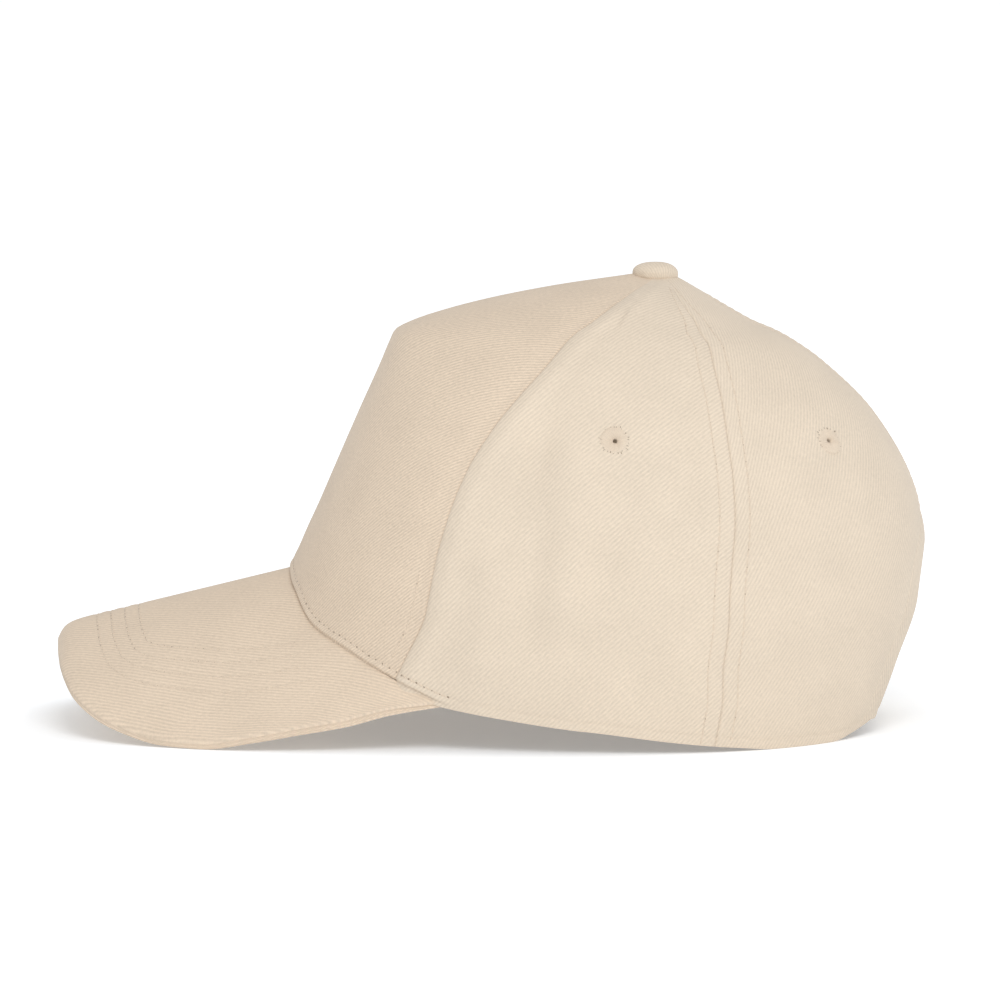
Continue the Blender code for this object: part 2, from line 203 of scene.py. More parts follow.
RINGS = table(
    ("height", "front", "shoulder", "side", "middle", "back", "front_power", "back_power"),
    (0.000, 0.955, 0.955, 0.995, -0.27, 0.833, 2.2, 2.25),
    (0.072, 0.958, 0.958, 1.000, -0.27, 0.883, 2.2, 2.25),
    (0.155, 0.950, 0.950, 1.003, -0.26, 0.932, 2.2, 2.25),
    (0.300, 0.900, 0.900, 1.003, -0.25, 0.998, 2.2, 2.25),
    (0.416, 0.851, 0.850, 0.985, -0.25, 1.000, 2.2, 2.25),
    (0.490, 0.814, 0.812, 0.962, -0.24, 0.984, 2.2, 2.25),
    (0.560, 0.781, 0.778, 0.930, -0.24, 0.946, 2.2, 2.25),
    (0.690, 0.719, 0.706, 0.840, -0.22, 0.815, 2.2, 2.20),
    (0.800, 0.665, 0.632, 0.724, -0.19, 0.628, 2.2, 2.16),
    (0.850, 0.642, 0.588, 0.648, -0.17, 0.510, 2.2, 2.12),
    (0.870, 0.631, 0.566, 0.610, -0.16, 0.447, 2.2, 2.10),
    (0.889, 0.592, 0.537, 0.566, -0.15, 0.370, 2.2, 2.08),
    (0.913, 0.515, 0.480, 0.500, -0.13, 0.297, 2.1, 2.05),
    (0.939, 0.405, 0.390, 0.415, -0.10, 0.223, 2.1, 2.02),
    (0.966, 0.260, 0.260, 0.288, -0.06, 0.147, 2.0, 2.00),
    (0.985, 0.130, 0.130, 0.160, -0.02, 0.092, 2.0, 2.00),
    (1.000, 0.025, 0.025, 0.041, 0.00, 0.039, 2.0, 2.00),
)
CORNER_FADE = (14.0, 58.0)


def smooth(places, values, at):
    """A curve through the values that never overshoots them, at one place or many."""
    at = np.clip(at, places[0], places[-1])
    index = np.clip(np.searchsorted(places, at, side="right") - 1, 0, len(places) - 2)
    steps = np.diff(places)
    slopes = np.diff(values) / steps
    product = slopes[:-1] * slopes[1:]
    total = slopes[:-1] + slopes[1:]
    inner = np.where(product > 0, 2 * product / np.where(total == 0, 1, total), 0.0)
    tangents = np.concatenate([slopes[:1], inner, slopes[-1:]])
    step = steps[index]
    way = (at - places[index]) / step
    first, last = values[index], values[index + 1]
    near, far = tangents[index] * step, tangents[index + 1] * step
    rising = 3 * way**2 - 2 * way**3
    level = first * (1 - rising) + last * rising
    return level + near * (way**3 - 2 * way**2 + way) + far * (way**3 - way**2)


def ring(name, height):
    """One column of the rings at a height."""
    return smooth(RINGS["height"], RINGS[name], height / crown_height)


face_reach = (button_axis - float(front_low[1])) / float(ring("front", 0.32 * crown_height))
print("crown", [round(1000 * size, 1) for size in (crown_height, half_width, face_reach, back_reach)])


# %% Points on the crown and the way out of it
def crown(azimuth, height):
    """Points of the smooth crown."""
    azimuth, height = np.broadcast_arrays(np.asarray(azimuth, float), np.asarray(height, float))
    angle = np.radians(azimuth)
    ahead = np.cos(angle) > 0
    fade = np.clip((np.abs(azimuth) - CORNER_FADE[0]) / (CORNER_FADE[1] - CORNER_FADE[0]), 0, 1)
    fade = fade**2 * (3 - 2 * fade)
    middle = back_reach * ring("middle", height)
    front = ring("front", height) * (1 - fade) + ring("shoulder", height) * fade
    reach = np.where(ahead, -face_reach * front, back_reach * ring("back", height))
    power = np.where(ahead, ring("front_power", height), ring("back_power", height))
    across = half_width * ring("side", height) * np.abs(np.sin(angle)) ** (2 / power)
    along = (reach - middle) * np.abs(np.cos(angle)) ** (2 / power)
    return np.stack([np.copysign(across, np.sin(angle)), button_axis + middle + along, height], -1)


def outward(azimuth, height):
    """The directions out of the crown."""
    up = np.minimum(height + 0.4 * MILLIMETRE, crown_height)
    turn = crown(azimuth + 0.5, height) - crown(azimuth - 0.5, height)
    rise = crown(azimuth, up) - crown(azimuth, up - 0.8 * MILLIMETRE)
    way = np.cross(turn, rise)
    return way / np.linalg.norm(way, axis=-1, keepdims=True)


def degree_length(azimuth, height):
    """How far one degree of azimuth reaches along the cloth."""
    return np.linalg.norm(crown(azimuth + 0.5, height) - crown(azimuth - 0.5, height), axis=-1)


# %% The rim, the seams and the back opening
RIM = table(
    ("azimuth", "rise", "seat"),
    (-16, 0.290, 1.00),
    (0, 0.320, 1.00),
    (16, 0.290, 1.00),
    (31, 0.226, 1.00),
    (43, 0.187, 1.00),
    (51, 0.154, 0.98),
    (58, 0.124, 0.90),
    (63.5, 0.107, 0.50),
    (66.5, 0.098, 0.30),
    (72, 0.0860, 0.00),
    (79, 0.0720, 0.00),
    (91, 0.0476, 0.00),
    (106, 0.0210, 0.00),
    (117, 0.0080, 0.00),
    (127, 0.0000, 0.00),
    (144, 0.0000, 0.00),
    (152, 0.0150, 0.00),
    (162, 0.0370, 0.00),
    (180, 0.0600, 0.00),
)
SEAMS = table(
    ("height", "front", "back"),
    (0.10, 55.0, 112.5),
    (0.20, 58.0, 111.2),
    (0.30, 60.3, 111.1),
    (0.47, 60.0, 112.0),
    (0.60, 62.0, 113.3),
    (0.69, 65.5, 114.5),
    (0.76, 69.8, 116.3),
    (0.82, 74.2, 118.6),
    (0.88, 77.8, 124.0),
    (0.92, 81.0, 128.0),
    (0.96, 83.6, 128.0),
    (1.00, 86.0, 127.0),
)
PEAK_CORNER = 66.5
PEAK_THICKNESS = 3.4 * MILLIMETRE
OPENING_TOP = 61.0 * MILLIMETRE
OPENING_HALF_WIDTH = 30.0 * MILLIMETRE
OPENING_FOOT = 160.0
OPENING_POWER = 2.4


def rim(azimuth):
    """Height of the crown's lower edge."""
    return crown_height * smooth(RIM["azimuth"], RIM["rise"], np.abs(azimuth))


def seat(azimuth):
    """Thickness of the peak where it meets the crown."""
    return PEAK_THICKNESS * smooth(RIM["azimuth"], RIM["seat"], np.abs(azimuth))


def seam(name, height):
    """Azimuth of a seam at a height."""
    return smooth(SEAMS["height"], SEAMS[name], height / crown_height)


def azimuth_across(across, height):
    """Azimuth at the back of the crown, this far from its middle."""
    share = np.minimum(across / (half_width * ring("side", height)), 1.0)
    return 180 - np.degrees(np.arcsin(share ** (ring("back_power", height) / 2)))


def opening(height):
    """Half the width of the back opening at a height."""
    base = rim(OPENING_FOOT)
    share = np.clip((height - base) / (OPENING_TOP - base), 0, 1)
    return OPENING_HALF_WIDTH * (1 - share**OPENING_POWER) ** (1 / OPENING_POWER)


# %% [markdown]
# ## Seams, stitched ridges and folds
#
# On the real cap each seam turns both edges inward, so the cloth rolls down into a fine line. The
# turned edges lie under the cloth and lift it, and a row of stitches on each side holds them down.
# Folds are shallow valleys where the cloth hangs loose. All of this is a small height over the
# smooth crown. One function gives it, so that panels and stitches use the same surface.

# %% Heights over the smooth crown
STITCH_ROW = 5.0
JOIN_ROW = 2.8
FOLD_STRENGTH = 1.5
FOLDS = table(
    ("side", "y_from", "z_from", "y_to", "z_to", "width", "depth"),
    (1, -0.16, 0.78, -0.28, 0.64, 8.5, -0.4),
    (1, -0.42, 0.72, -0.62, 0.44, 5.0, -0.7),
    (1, -0.46, 0.66, -0.50, 0.26, 6.0, -0.9),
    (1, -0.30, 0.62, -0.38, 0.34, 7.0, 0.7),
    (1, -0.12, 0.56, -0.25, 0.36, 6.5, -0.8),
    (1, 0.12, 0.82, 0.10, 0.56, 5.5, -0.7),
    (1, 0.42, 0.80, 0.46, 0.50, 6.0, -0.7),
    (1, -0.66, 0.40, -0.70, 0.20, 5.0, 0.6),
    (1, -0.30, 0.22, -0.02, 0.14, 7.0, -0.5),
    (1, 0.70, 0.60, 0.74, 0.25, 8.0, -0.5),
    (-1, -0.16, 0.85, -0.30, 0.70, 7.0, -0.6),
    (-1, -0.40, 0.68, -0.52, 0.34, 6.0, -0.8),
    (-1, -0.18, 0.56, -0.22, 0.30, 7.0, 0.6),
    (-1, 0.12, 0.84, 0.06, 0.50, 5.5, -0.7),
    (-1, 0.48, 0.78, 0.52, 0.44, 6.5, -0.7),
    (-1, -0.60, 0.42, -0.66, 0.22, 5.0, -0.6),
    (-1, 0.80, 0.58, 0.78, 0.30, 8.0, -0.5),
)


def bump(distance, middle, width):
    """A soft rise of one at a distance, in millimetres."""
    return np.exp(-(((distance - middle) / width) ** 2))


def folds(side, points):
    """Shallow valleys and swells of the side and back panels, in millimetres."""
    across = (points[..., 1] - button_axis) / half_width
    up = points[..., 2] / crown_height
    total = np.zeros(across.shape)
    for place in range(len(FOLDS["side"])):
        fold = {name: column[place] for name, column in FOLDS.items()}
        start = np.array([fold["y_from"] * half_width, fold["z_from"] * crown_height])
        end = np.array([fold["y_to"] * half_width, fold["z_to"] * crown_height])
        spot = np.stack([across * half_width, up * crown_height], -1)
        share = np.clip(((spot - start) @ (end - start)) / ((end - start) @ (end - start)), 0, 1)
        away = np.linalg.norm(spot - start - share[..., None] * (end - start), axis=-1) / MILLIMETRE
        depth = FOLD_STRENGTH * fold["depth"] * bump(away, 0, fold["width"])
        total += np.where(side == fold["side"], depth, 0.0)
    return total


def relief(azimuth, height):
    """Height of the cloth over the smooth crown, in metres."""
    around = np.abs(azimuth)
    points = crown(azimuth, height)
    length = degree_length(azimuth, height) / MILLIMETRE
    radius = np.hypot(points[..., 0], points[..., 1] - button_axis) / MILLIMETRE
    calm = np.clip((radius - 9) / 30, 0, 1)
    to_front = (around - seam("front", height)) * length
    to_back = (around - seam("back", height)) * length
    to_middle = (180 - around) * length
    above_opening = np.clip((height - OPENING_TOP) / (6 * MILLIMETRE), 0, 1)
    total = -0.55 * bump(to_front, 0, 0.6) - 0.44 * bump(to_back, 0, 0.42)
    total += np.where(to_front > 0, 0.95 * bump(to_front, 5.0, 3.8), -0.35 * bump(to_front, -3.0, 2.5))
    for distance, strength in ((np.abs(to_back), 1.0), (to_middle, above_opening)):
        total += strength * (0.06 * bump(distance, 2.6, 1.7) - 0.03 * bump(distance, STITCH_ROW, 0.8))
    total -= 0.35 * above_opening * bump(to_middle, 0, 0.7)
    over_join = (height - rim(azimuth) - seat(azimuth)) / MILLIMETRE
    at_peak = np.clip((PEAK_CORNER + 2 - around) / 4, 0, 1)
    rolled = np.clip((over_join - 0.25) / 0.5, 0, 1) * np.exp(-(np.maximum(over_join, 0) / 4.5) ** 2)
    total += at_peak * (0.75 * rolled - 0.25 * bump(over_join, 0.2, 0.5))
    total -= 0.25 * bump(over_join, JOIN_ROW, 0.7)
    loose = np.clip((around - seam("front", height)) / 8, 0, 1)
    total += loose * folds(np.sign(azimuth), points)
    sideways = np.abs(np.sin(np.radians(azimuth))) ** 2
    return (total * calm - 1.1 * sideways * bump(radius, 5, 10)) * MILLIMETRE


def cloth(azimuth, height):
    """Points of the cloth's outer face."""
    return crown(azimuth, height) + outward(azimuth, height) * relief(azimuth, height)[..., None]


half_way = float(seam("front", crown_height / 2))
print("seam of the front panel at half height:", round(half_way, 1), "degrees")

# %% [markdown]
# ## The twill
#
# Twill has ribs about a millimetre apart that run aslant over the cloth, each made of short slanted
# threads. A map called Cloth gives every point its place on the flat cloth in metres, turned so
# that the ribs run along its first direction. Waves across the second direction make the ribs,
# finer waves break them into threads, and soft noise makes them uneven. The same height gives
# colour, roughness and bump, so that hollows are a little darker than the ribs: partly the yarn's
# own tone and partly painted shade in the hollows. The stiff front and the peak show their ribs
# more than the soft sides, so these three finishes differ in contrast.

# %% Twill material
RIB_PITCH = 1.15 * MILLIMETRE
THREAD_PITCH = 0.58 * MILLIMETRE
THREAD_SLANT = math.radians(62)
RIB_SHARE = 0.36
FUZZ = 0.85


def wave_scale(pitch):
    """The scale at which Blender's wave repeats every pitch."""
    return 2 * math.pi / (20 * pitch)


def make_twill(name, colour, contrast, pitch=RIB_PITCH, wander=1.8):
    """Sand twill that follows the Cloth map, with ribs a pitch apart that wander a little."""
    made = bpy.data.materials.new(name)
    made.use_nodes = True
    tree = made.node_tree
    shader = tree.nodes["Principled BSDF"]
    place = add_node(tree, "ShaderNodeUVMap", uv_map="Cloth").outputs["UV"]
    rib = add_node(
        tree,
        "ShaderNodeTexWave",
        {"Vector": place, "Scale": wave_scale(pitch), "Distortion": wander, "Detail": 2.5,
         "Detail Scale": 0.55, "Detail Roughness": 0.65},
        bands_direction="Y",
    )
    slant = add_node(
        tree, "ShaderNodeMapping", {"Vector": place, "Rotation": (0.0, 0.0, THREAD_SLANT)}
    )
    thread = add_node(
        tree,
        "ShaderNodeTexWave",
        {"Vector": slant.outputs["Vector"], "Scale": wave_scale(THREAD_PITCH), "Distortion": 0.5,
         "Detail": 1.0, "Detail Scale": 0.5},
        bands_direction="Y",
    )
    along = add_node(tree, "ShaderNodeMapping", {"Vector": place, "Scale": (0.5, 1.0, 1.0)})
    fibre = add_node(
        tree, "ShaderNodeTexNoise",
        {"Vector": along.outputs["Vector"], "Scale": 1500.0, "Detail": 3.0, "Roughness": 0.6},
    )
    cloudy = add_node(
        tree, "ShaderNodeTexNoise", {"Vector": place, "Scale": 55.0, "Detail": 4.0, "Roughness": 0.55}
    )
    threads = add_node(
        tree, "ShaderNodeMath", {0: thread.outputs["Fac"], 1: 0.30, 2: 0.70}, operation="MULTIPLY_ADD"
    )
    ribs = add_node(
        tree, "ShaderNodeMath", {0: rib.outputs["Fac"], 1: threads.outputs[0]}, operation="MULTIPLY"
    )
    fuzz = add_node(tree, "ShaderNodeMath", {0: fibre.outputs["Fac"], 1: FUZZ}, operation="MULTIPLY")
    height = add_node(
        tree, "ShaderNodeMath", {0: ribs.outputs[0], 1: RIB_SHARE, 2: fuzz.outputs[0]},
        operation="MULTIPLY_ADD",
    ).outputs[0]
    # Hollows of the ribs are darker and rib tops lighter: partly the yarn's own tone, partly painted
    # shade of the rib relief.
    dark = [share * (1 - contrast) for share in colour] + [1.0]
    light = [min(share * (1 + contrast * 0.45), 1.0) for share in colour] + [1.0]
    ramp = add_node(tree, "ShaderNodeValToRGB", {"Fac": height})
    ramp.color_ramp.elements[0].position = 0.19
    ramp.color_ramp.elements[0].color = dark
    ramp.color_ramp.elements[1].position = 1.0
    ramp.color_ramp.elements[1].color = light
    shade = add_node(
        tree, "ShaderNodeMapRange",
        {"Value": cloudy.outputs["Fac"], "From Min": 0.3, "From Max": 0.7,
         "To Min": 0.970, "To Max": 1.025},
    )
    tint = add_node(
        tree, "ShaderNodeVectorMath",
        {0: ramp.outputs["Color"], "Scale": shade.outputs["Result"]}, operation="SCALE",
    )
    tree.links.new(tint.outputs["Vector"], shader.inputs["Base Color"])
    dull = add_node(
        tree, "ShaderNodeMapRange", {"Value": height, "To Min": 0.96, "To Max": 0.80}
    )
    tree.links.new(dull.outputs["Result"], shader.inputs["Roughness"])
    raised = add_node(
        tree, "ShaderNodeBump", {"Height": height, "Strength": 0.6, "Distance": 0.14 * MILLIMETRE}
    )
    tree.links.new(raised.outputs["Normal"], shader.inputs["Normal"])
    shader.inputs["Specular IOR Level"].default_value = 0.25
    shader.inputs["Sheen Weight"].default_value = 0.12
    shader.inputs["Sheen Roughness"].default_value = 0.5
    return made


SAND_SIDE = (0.703, 0.600, 0.480)
SAND_FRONT = (0.722, 0.595, 0.463)
side_cloth = make_twill("sand_side_twill", SAND_SIDE, 0.20)
front_cloth = make_twill("sand_front_twill", SAND_FRONT, 0.31)
peak_cloth = make_twill("sand_peak_twill", SAND_FRONT, 0.24, RIB_PITCH, 1.3)

# %% [markdown]
# Thread is a twisted bundle of fibres, smoother than the cloth and nearly the same colour. What
# shows first in a row of stitches is the small dark hole where the needle went in. The hole isn't
# cut: its darkness is painted shade, a dark disc on the cloth.

# %% Thread and the painted shade of needle holes
def make_thread(name, colour):
    """Sewing thread with fine twisted fibres."""
    made = bpy.data.materials.new(name)
    made.use_nodes = True
    tree = made.node_tree
    shader = tree.nodes["Principled BSDF"]
    place = add_node(tree, "ShaderNodeTexCoord").outputs["Object"]
    fibre = add_node(
        tree, "ShaderNodeTexNoise", {"Vector": place, "Scale": 3000.0, "Detail": 2.0, "Roughness": 0.5}
    )
    ramp = add_node(tree, "ShaderNodeValToRGB", {"Fac": fibre.outputs["Fac"]})
    ramp.color_ramp.elements[0].position = 0.3
    ramp.color_ramp.elements[0].color = [share * 0.90 for share in colour] + [1.0]
    ramp.color_ramp.elements[1].position = 0.7
    ramp.color_ramp.elements[1].color = [share * 1.05 for share in colour] + [1.0]
    tree.links.new(ramp.outputs["Color"], shader.inputs["Base Color"])
    raised = add_node(
        tree, "ShaderNodeBump",
        {"Height": fibre.outputs["Fac"], "Strength": 0.5, "Distance": 0.05 * MILLIMETRE},
    )
    tree.links.new(raised.outputs["Normal"], shader.inputs["Normal"])
    shader.inputs["Roughness"].default_value = 0.7
    shader.inputs["Specular IOR Level"].default_value = 0.35
    shader.inputs["Sheen Weight"].default_value = 0.2
    return made


side_thread = make_thread("sand_thread", (0.665, 0.555, 0.435))
# Needle holes are dark discs: these two colours are painted shade.
painted_needle_hole_shade = make_thread("needle_hole_shade", (0.30, 0.235, 0.175))
faint_painted_needle_hole_shade = make_thread("faint_needle_hole_shade", (0.46, 0.37, 0.28))
eyelet_thread = make_thread("sand_eyelet_thread", (0.680, 0.575, 0.458))

# %% [markdown]
# ## A panel
#
# A panel starts as a flat grid, like the cut cloth, and is laid on the crown between its two seams.
# Columns lie close together beside the seams, where the cloth rolls, and rows lie close together
# at the rim. The unwrap operator then lays the shaped panel flat again, as a cutter would, and its
# size is set from the middle column. That flat shape, in metres and turned to the slant of the
# ribs, is the Cloth map, so the ribs run straight and evenly over the panel, as on real cut cloth.
# Then Solidify gives the cloth its wall, and a small bevel rounds the wall's edges, so that two
# panels meet in a fine line.

# %% Lay a grid on the crown
EDGE_COLUMNS = np.array([0.01, 0.45, 0.95, 1.5, 2.1, 2.8, 3.6, 4.3, 5.0, 5.7, 6.6, 8.0]) * MILLIMETRE
RIM_ROWS = (
    (0.0, 0.0), (0.5, 0.15), (0.95, 0.3), (1.0, 0.6), (1.0, 0.9), (1.0, 1.3), (1.0, 1.9), (1.0, 2.4),
    (1.0, 2.8), (1.0, 3.2), (1.0, 3.7), (1.0, 4.4), (1.0, 5.3), (1.0, 6.5), (1.0, 8.0),
)
ROW_POINTS = 49


def use_alone(piece):
    """Select one piece alone."""
    bpy.ops.object.select_all(action="DESELECT")
    piece.select_set(True)
    bpy.context.view_layer.objects.active = piece


def panel_height(azimuth, row, low_rows, high_rows):
    """Height of one row of a grid: close rows at the rim, then up to the opening's top, and above."""
    base = rim(azimuth)
    if row < len(RIM_ROWS):
        share, rise = RIM_ROWS[row]
        return base + seat(azimuth) * share + rise * MILLIMETRE
    start = base + seat(azimuth) + RIM_ROWS[-1][1] * MILLIMETRE
    if row < len(RIM_ROWS) + low_rows:
        share = (row - len(RIM_ROWS) + 1) / low_rows
        share = 1 - (1 - share) ** 1.35
        return start + (OPENING_TOP - start) * share
    share = (row - len(RIM_ROWS) - low_rows + 1) / high_rows
    return OPENING_TOP + (crown_height - OPENING_TOP) * (1 - (1 - share) ** 1.25) + 0 * azimuth


def place_columns(length, count):
    """Distances across a panel: close together beside both seams and even between."""
    scale = min(1.0, length / (2.5 * EDGE_COLUMNS[-1]))
    first = EDGE_COLUMNS * scale
    last = length - first[::-1]
    between = np.linspace(first[-1], last[0], count - 2 * len(first) + 2)[1:-1]
    return np.concatenate([first, between, last])


def lay_panel(name, first_edge, last_edge, columns, ribs, low_rows=38, high_rows=78):
    """A grid laid on the crown between two edges, with its Cloth map. Ribs is their slant."""
    rows = len(RIM_ROWS) + low_rows + high_rows
    bpy.ops.mesh.primitive_grid_add(x_subdivisions=columns - 1, y_subdivisions=rows - 1, size=1.0)
    piece = bpy.context.object
    piece.name = name
    mesh = piece.data
    places = np.zeros((rows, columns, 3))
    shares = np.linspace(0, 1, ROW_POINTS)
    for row in range(rows):
        height = panel_height(np.full(ROW_POINTS, 100.0), row, low_rows, high_rows)
        # A row's height and its azimuths depend on each other, so a few rounds settle both.
        for _ in range(12):
            azimuth = first_edge(height) * (1 - shares) + last_edge(height) * shares
            height = panel_height(azimuth, row, low_rows, high_rows)
        points = crown(azimuth, height)
        walked = np.concatenate([[0], np.cumsum(np.linalg.norm(np.diff(points, axis=0), axis=1))])
        across = place_columns(walked[-1], columns)
        azimuth = np.interp(across, walked, azimuth)
        height = panel_height(azimuth, row, low_rows, high_rows)
        places[row] = cloth(azimuth, height)
    mesh.vertices.foreach_set("co", places.reshape(-1))
    mesh.update()
    write_cloth_map(piece, unwrap(piece, places), ribs)
    return piece


def unwrap(piece, places):
    """Each point's place on the flat cloth, in metres, with the middle column upright."""
    use_alone(piece)
    bpy.ops.object.mode_set(mode="EDIT")
    bpy.ops.mesh.select_all(action="SELECT")
    bpy.ops.uv.unwrap(method="ANGLE_BASED", margin=0.0)
    bpy.ops.object.mode_set(mode="OBJECT")
    mesh = piece.data
    corners = np.zeros(len(mesh.loops), int)
    mesh.loops.foreach_get("vertex_index", corners)
    spots = np.zeros(2 * len(mesh.loops))
    mesh.uv_layers.active.data.foreach_get("uv", spots)
    flat = np.zeros((len(mesh.vertices), 2))
    flat[corners] = spots.reshape(-1, 2)
    middle = flat.reshape(*places.shape[:2], 2)[:, places.shape[1] // 2]
    real = np.linalg.norm(np.diff(places[:, places.shape[1] // 2], axis=0), axis=1).sum()
    size = real / np.linalg.norm(np.diff(middle, axis=0), axis=1).sum()
    up = (middle[-1] - middle[0]) / np.linalg.norm(middle[-1] - middle[0])
    flat = (flat - middle[0]) * size
    return np.stack([flat[:, 0] * up[1] - flat[:, 1] * up[0], flat @ up], -1)


def write_cloth_map(piece, flat, ribs):
    """The Cloth map from each point's place on the flat cloth, turned to the slant of its ribs."""
    turn = math.radians(ribs)
    along = flat[:, 0] * math.cos(turn) + flat[:, 1] * math.sin(turn)
    over = flat[:, 1] * math.cos(turn) - flat[:, 0] * math.sin(turn)
    mesh = piece.data
    while mesh.uv_layers:
        mesh.uv_layers.remove(mesh.uv_layers[0])
    layer = mesh.uv_layers.new(name="Cloth")
    corners = np.zeros(len(mesh.loops), int)
    mesh.loops.foreach_get("vertex_index", corners)
    layer.data.foreach_set("uv", np.stack([along[corners], over[corners]], -1).reshape(-1))


# %% Finish any piece
def apply_modifier(piece, kind, **settings):
    """Add a modifier and apply it."""
    use_alone(piece)
    made = piece.modifiers.new(kind.lower(), kind)
    for name, value in settings.items():
        setattr(made, name, value)
    bpy.ops.object.modifier_apply(modifier=made.name)


def finish_piece(piece, materials, nodes=()):
    """Give a piece its materials and its place in the cap."""
    piece.data.materials.clear()
    for material in materials:
        piece.data.materials.append(material)
    use_alone(piece)
    bpy.ops.object.shade_smooth_by_angle(angle=math.radians(50))
    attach(piece, "root")
    if nodes:
        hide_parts(*nodes)
    triangles = sum(len(face.vertices) - 2 for face in piece.data.polygons)
    print(piece.name, triangles, "triangles")
    return piece


# %% Edges of the panels
def minus(edge):
    """The same edge on the wearer's right."""
    return lambda height: -edge(height)


def front_seam(height):
    """The seam between the front and side panels."""
    return seam("front", height)


def back_seam(height):
    """The seam between the side and back panels."""
    return seam("back", height)


def back_edge(height):
    """The back panel's free edge, along the opening and up the middle seam."""
    return azimuth_across(np.where(height < OPENING_TOP, opening(height), 0.0), height)


# %% The five panels
FRONT_WALL = 2.0 * MILLIMETRE
PANEL_WALL = 1.5 * MILLIMETRE
FRONT_RIBS = 65
SIDE_RIBS = 53
BACK_RIBS = 62
PANELS = (
    ("twill_front_panel", "front_panel", minus(front_seam), front_seam, 150, FRONT_RIBS,
     FRONT_WALL),
    ("twill_left_side_panel", "left_side_panel", front_seam, back_seam, 96, SIDE_RIBS,
     PANEL_WALL),
    ("twill_left_back_panel", "left_back_panel", back_seam, back_edge, 96, BACK_RIBS,
     PANEL_WALL),
    ("twill_right_back_panel", "right_back_panel", minus(back_edge), minus(back_seam), 96,
     BACK_RIBS, PANEL_WALL),
    ("twill_right_side_panel", "right_side_panel", minus(back_seam), minus(front_seam), 96,
     SIDE_RIBS, PANEL_WALL),
)
panels = {}
for name, node, first, last, columns, ribs, wall in PANELS:
    piece = lay_panel(name, first, last, columns, ribs)
    apply_modifier(piece, "SOLIDIFY", thickness=wall, offset=-1.0)
    apply_modifier(
        piece, "BEVEL", width=0.22 * MILLIMETRE, segments=2, limit_method="ANGLE",
        angle_limit=math.radians(60), use_clamp_overlap=True,
    )
    panels[node] = piece

# %% [markdown]
# ## Sewn eyelets
#
# Each eyelet is a small hole oversewn with thread from its rim outward, so it looks like a flat
# ring of fine spokes. A ring with many segments is flattened, and every few segments rise and fall
# to make the spokes. The panel is cut open under the ring first, so that the small hole in the
# ring's middle is dark because it's open.

# %% Eyelets
EYELETS = {"side": (92.5, 0.672), "back": (140.5, 0.658)}
EYELET_RADIUS = 4.8 * MILLIMETRE
EYELET_HOLE = 0.68 * MILLIMETRE
EYELET_CUT = 2.4 * MILLIMETRE
SPOKES = 44


def cut_hole(piece, middle, turn, radius):
    """Cut a round hole through a panel."""
    bpy.ops.mesh.primitive_cylinder_add(
        vertices=32, radius=radius, depth=12 * MILLIMETRE, location=middle
    )
    cutter = bpy.context.object
    cutter.rotation_mode = "QUATERNION"
    cutter.rotation_quaternion = turn
    apply_modifier(piece, "BOOLEAN", object=cutter, solver="EXACT", operation="DIFFERENCE")
    bpy.data.objects.remove(cutter, do_unlink=True)


def make_eyelet(name, middle, turn):
    """A flattened ring with spokes of thread."""
    reach = (EYELET_RADIUS + EYELET_HOLE) / 2
    thick = (EYELET_RADIUS - EYELET_HOLE) / 2
    bpy.ops.mesh.primitive_torus_add(
        major_segments=SPOKES * 4, minor_segments=18, major_radius=reach, minor_radius=thick
    )
    piece = bpy.context.object
    piece.name = name
    mesh = piece.data
    spots = np.zeros(len(mesh.vertices) * 3)
    mesh.vertices.foreach_get("co", spots)
    spots = spots.reshape(-1, 3)
    angle = np.arctan2(spots[:, 1], spots[:, 0])
    spoke = np.abs(np.cos(angle * SPOKES / 2)) ** 0.7
    uneven = 1 + 0.25 * np.sin(angle * 5 + middle[0] * 90) * np.sin(angle * 13 + 1)
    radius = np.hypot(spots[:, 0], spots[:, 1])
    grown = radius + np.where(radius > reach, (spoke - 0.5) * 0.22 * MILLIMETRE * uneven, 0.0)
    spots[:, :2] *= (grown / radius)[:, None]
    lift = spots[:, 2] / thick
    half = PANEL_WALL / 2 + (0.12 + 0.12 * spoke * uneven) * MILLIMETRE
    spots[:, 2] = np.sign(lift) * np.abs(lift) ** 0.55 * half
    matrix = turn.to_matrix()
    spots = spots @ np.array(matrix).T + np.array(middle)
    mesh.vertices.foreach_set("co", spots.reshape(-1))
    mesh.update()
    return piece


for place, (azimuth, share) in EYELETS.items():
    for side, sign in (("left", 1), ("right", -1)):
        height = share * crown_height
        way = outward(sign * azimuth, height)
        spot = cloth(np.array([sign * azimuth]), np.array([height]))[0] - way * PANEL_WALL / 2
        turn = Vector((0, 0, 1)).rotation_difference(Vector(way))
        cut_hole(panels[f"{side}_{place}_panel"], Vector(spot), turn, EYELET_CUT)
        piece = make_eyelet(f"sewn_eyelet_{side}_{place}", Vector(spot), turn)
        finish_piece(piece, [eyelet_thread], [f"eyelet_{side}_{place}"])

# %% Materials and places of the panels
for node, piece in panels.items():
    front = node == "front_panel"
    twill = front_cloth if front else side_cloth
    finish_piece(piece, [twill], [node])

# %% [markdown]
# ## The peak
#
# The peak is a stiff curved plate covered in the same twill, with four rows of stitches that run
# parallel to its edge and press the cloth down. A grid is wrapped round it: its rows start at the
# crown, run out over the top, round the edge and back underneath. The rows of stitches are shallow
# valleys at fixed distances from the edge.

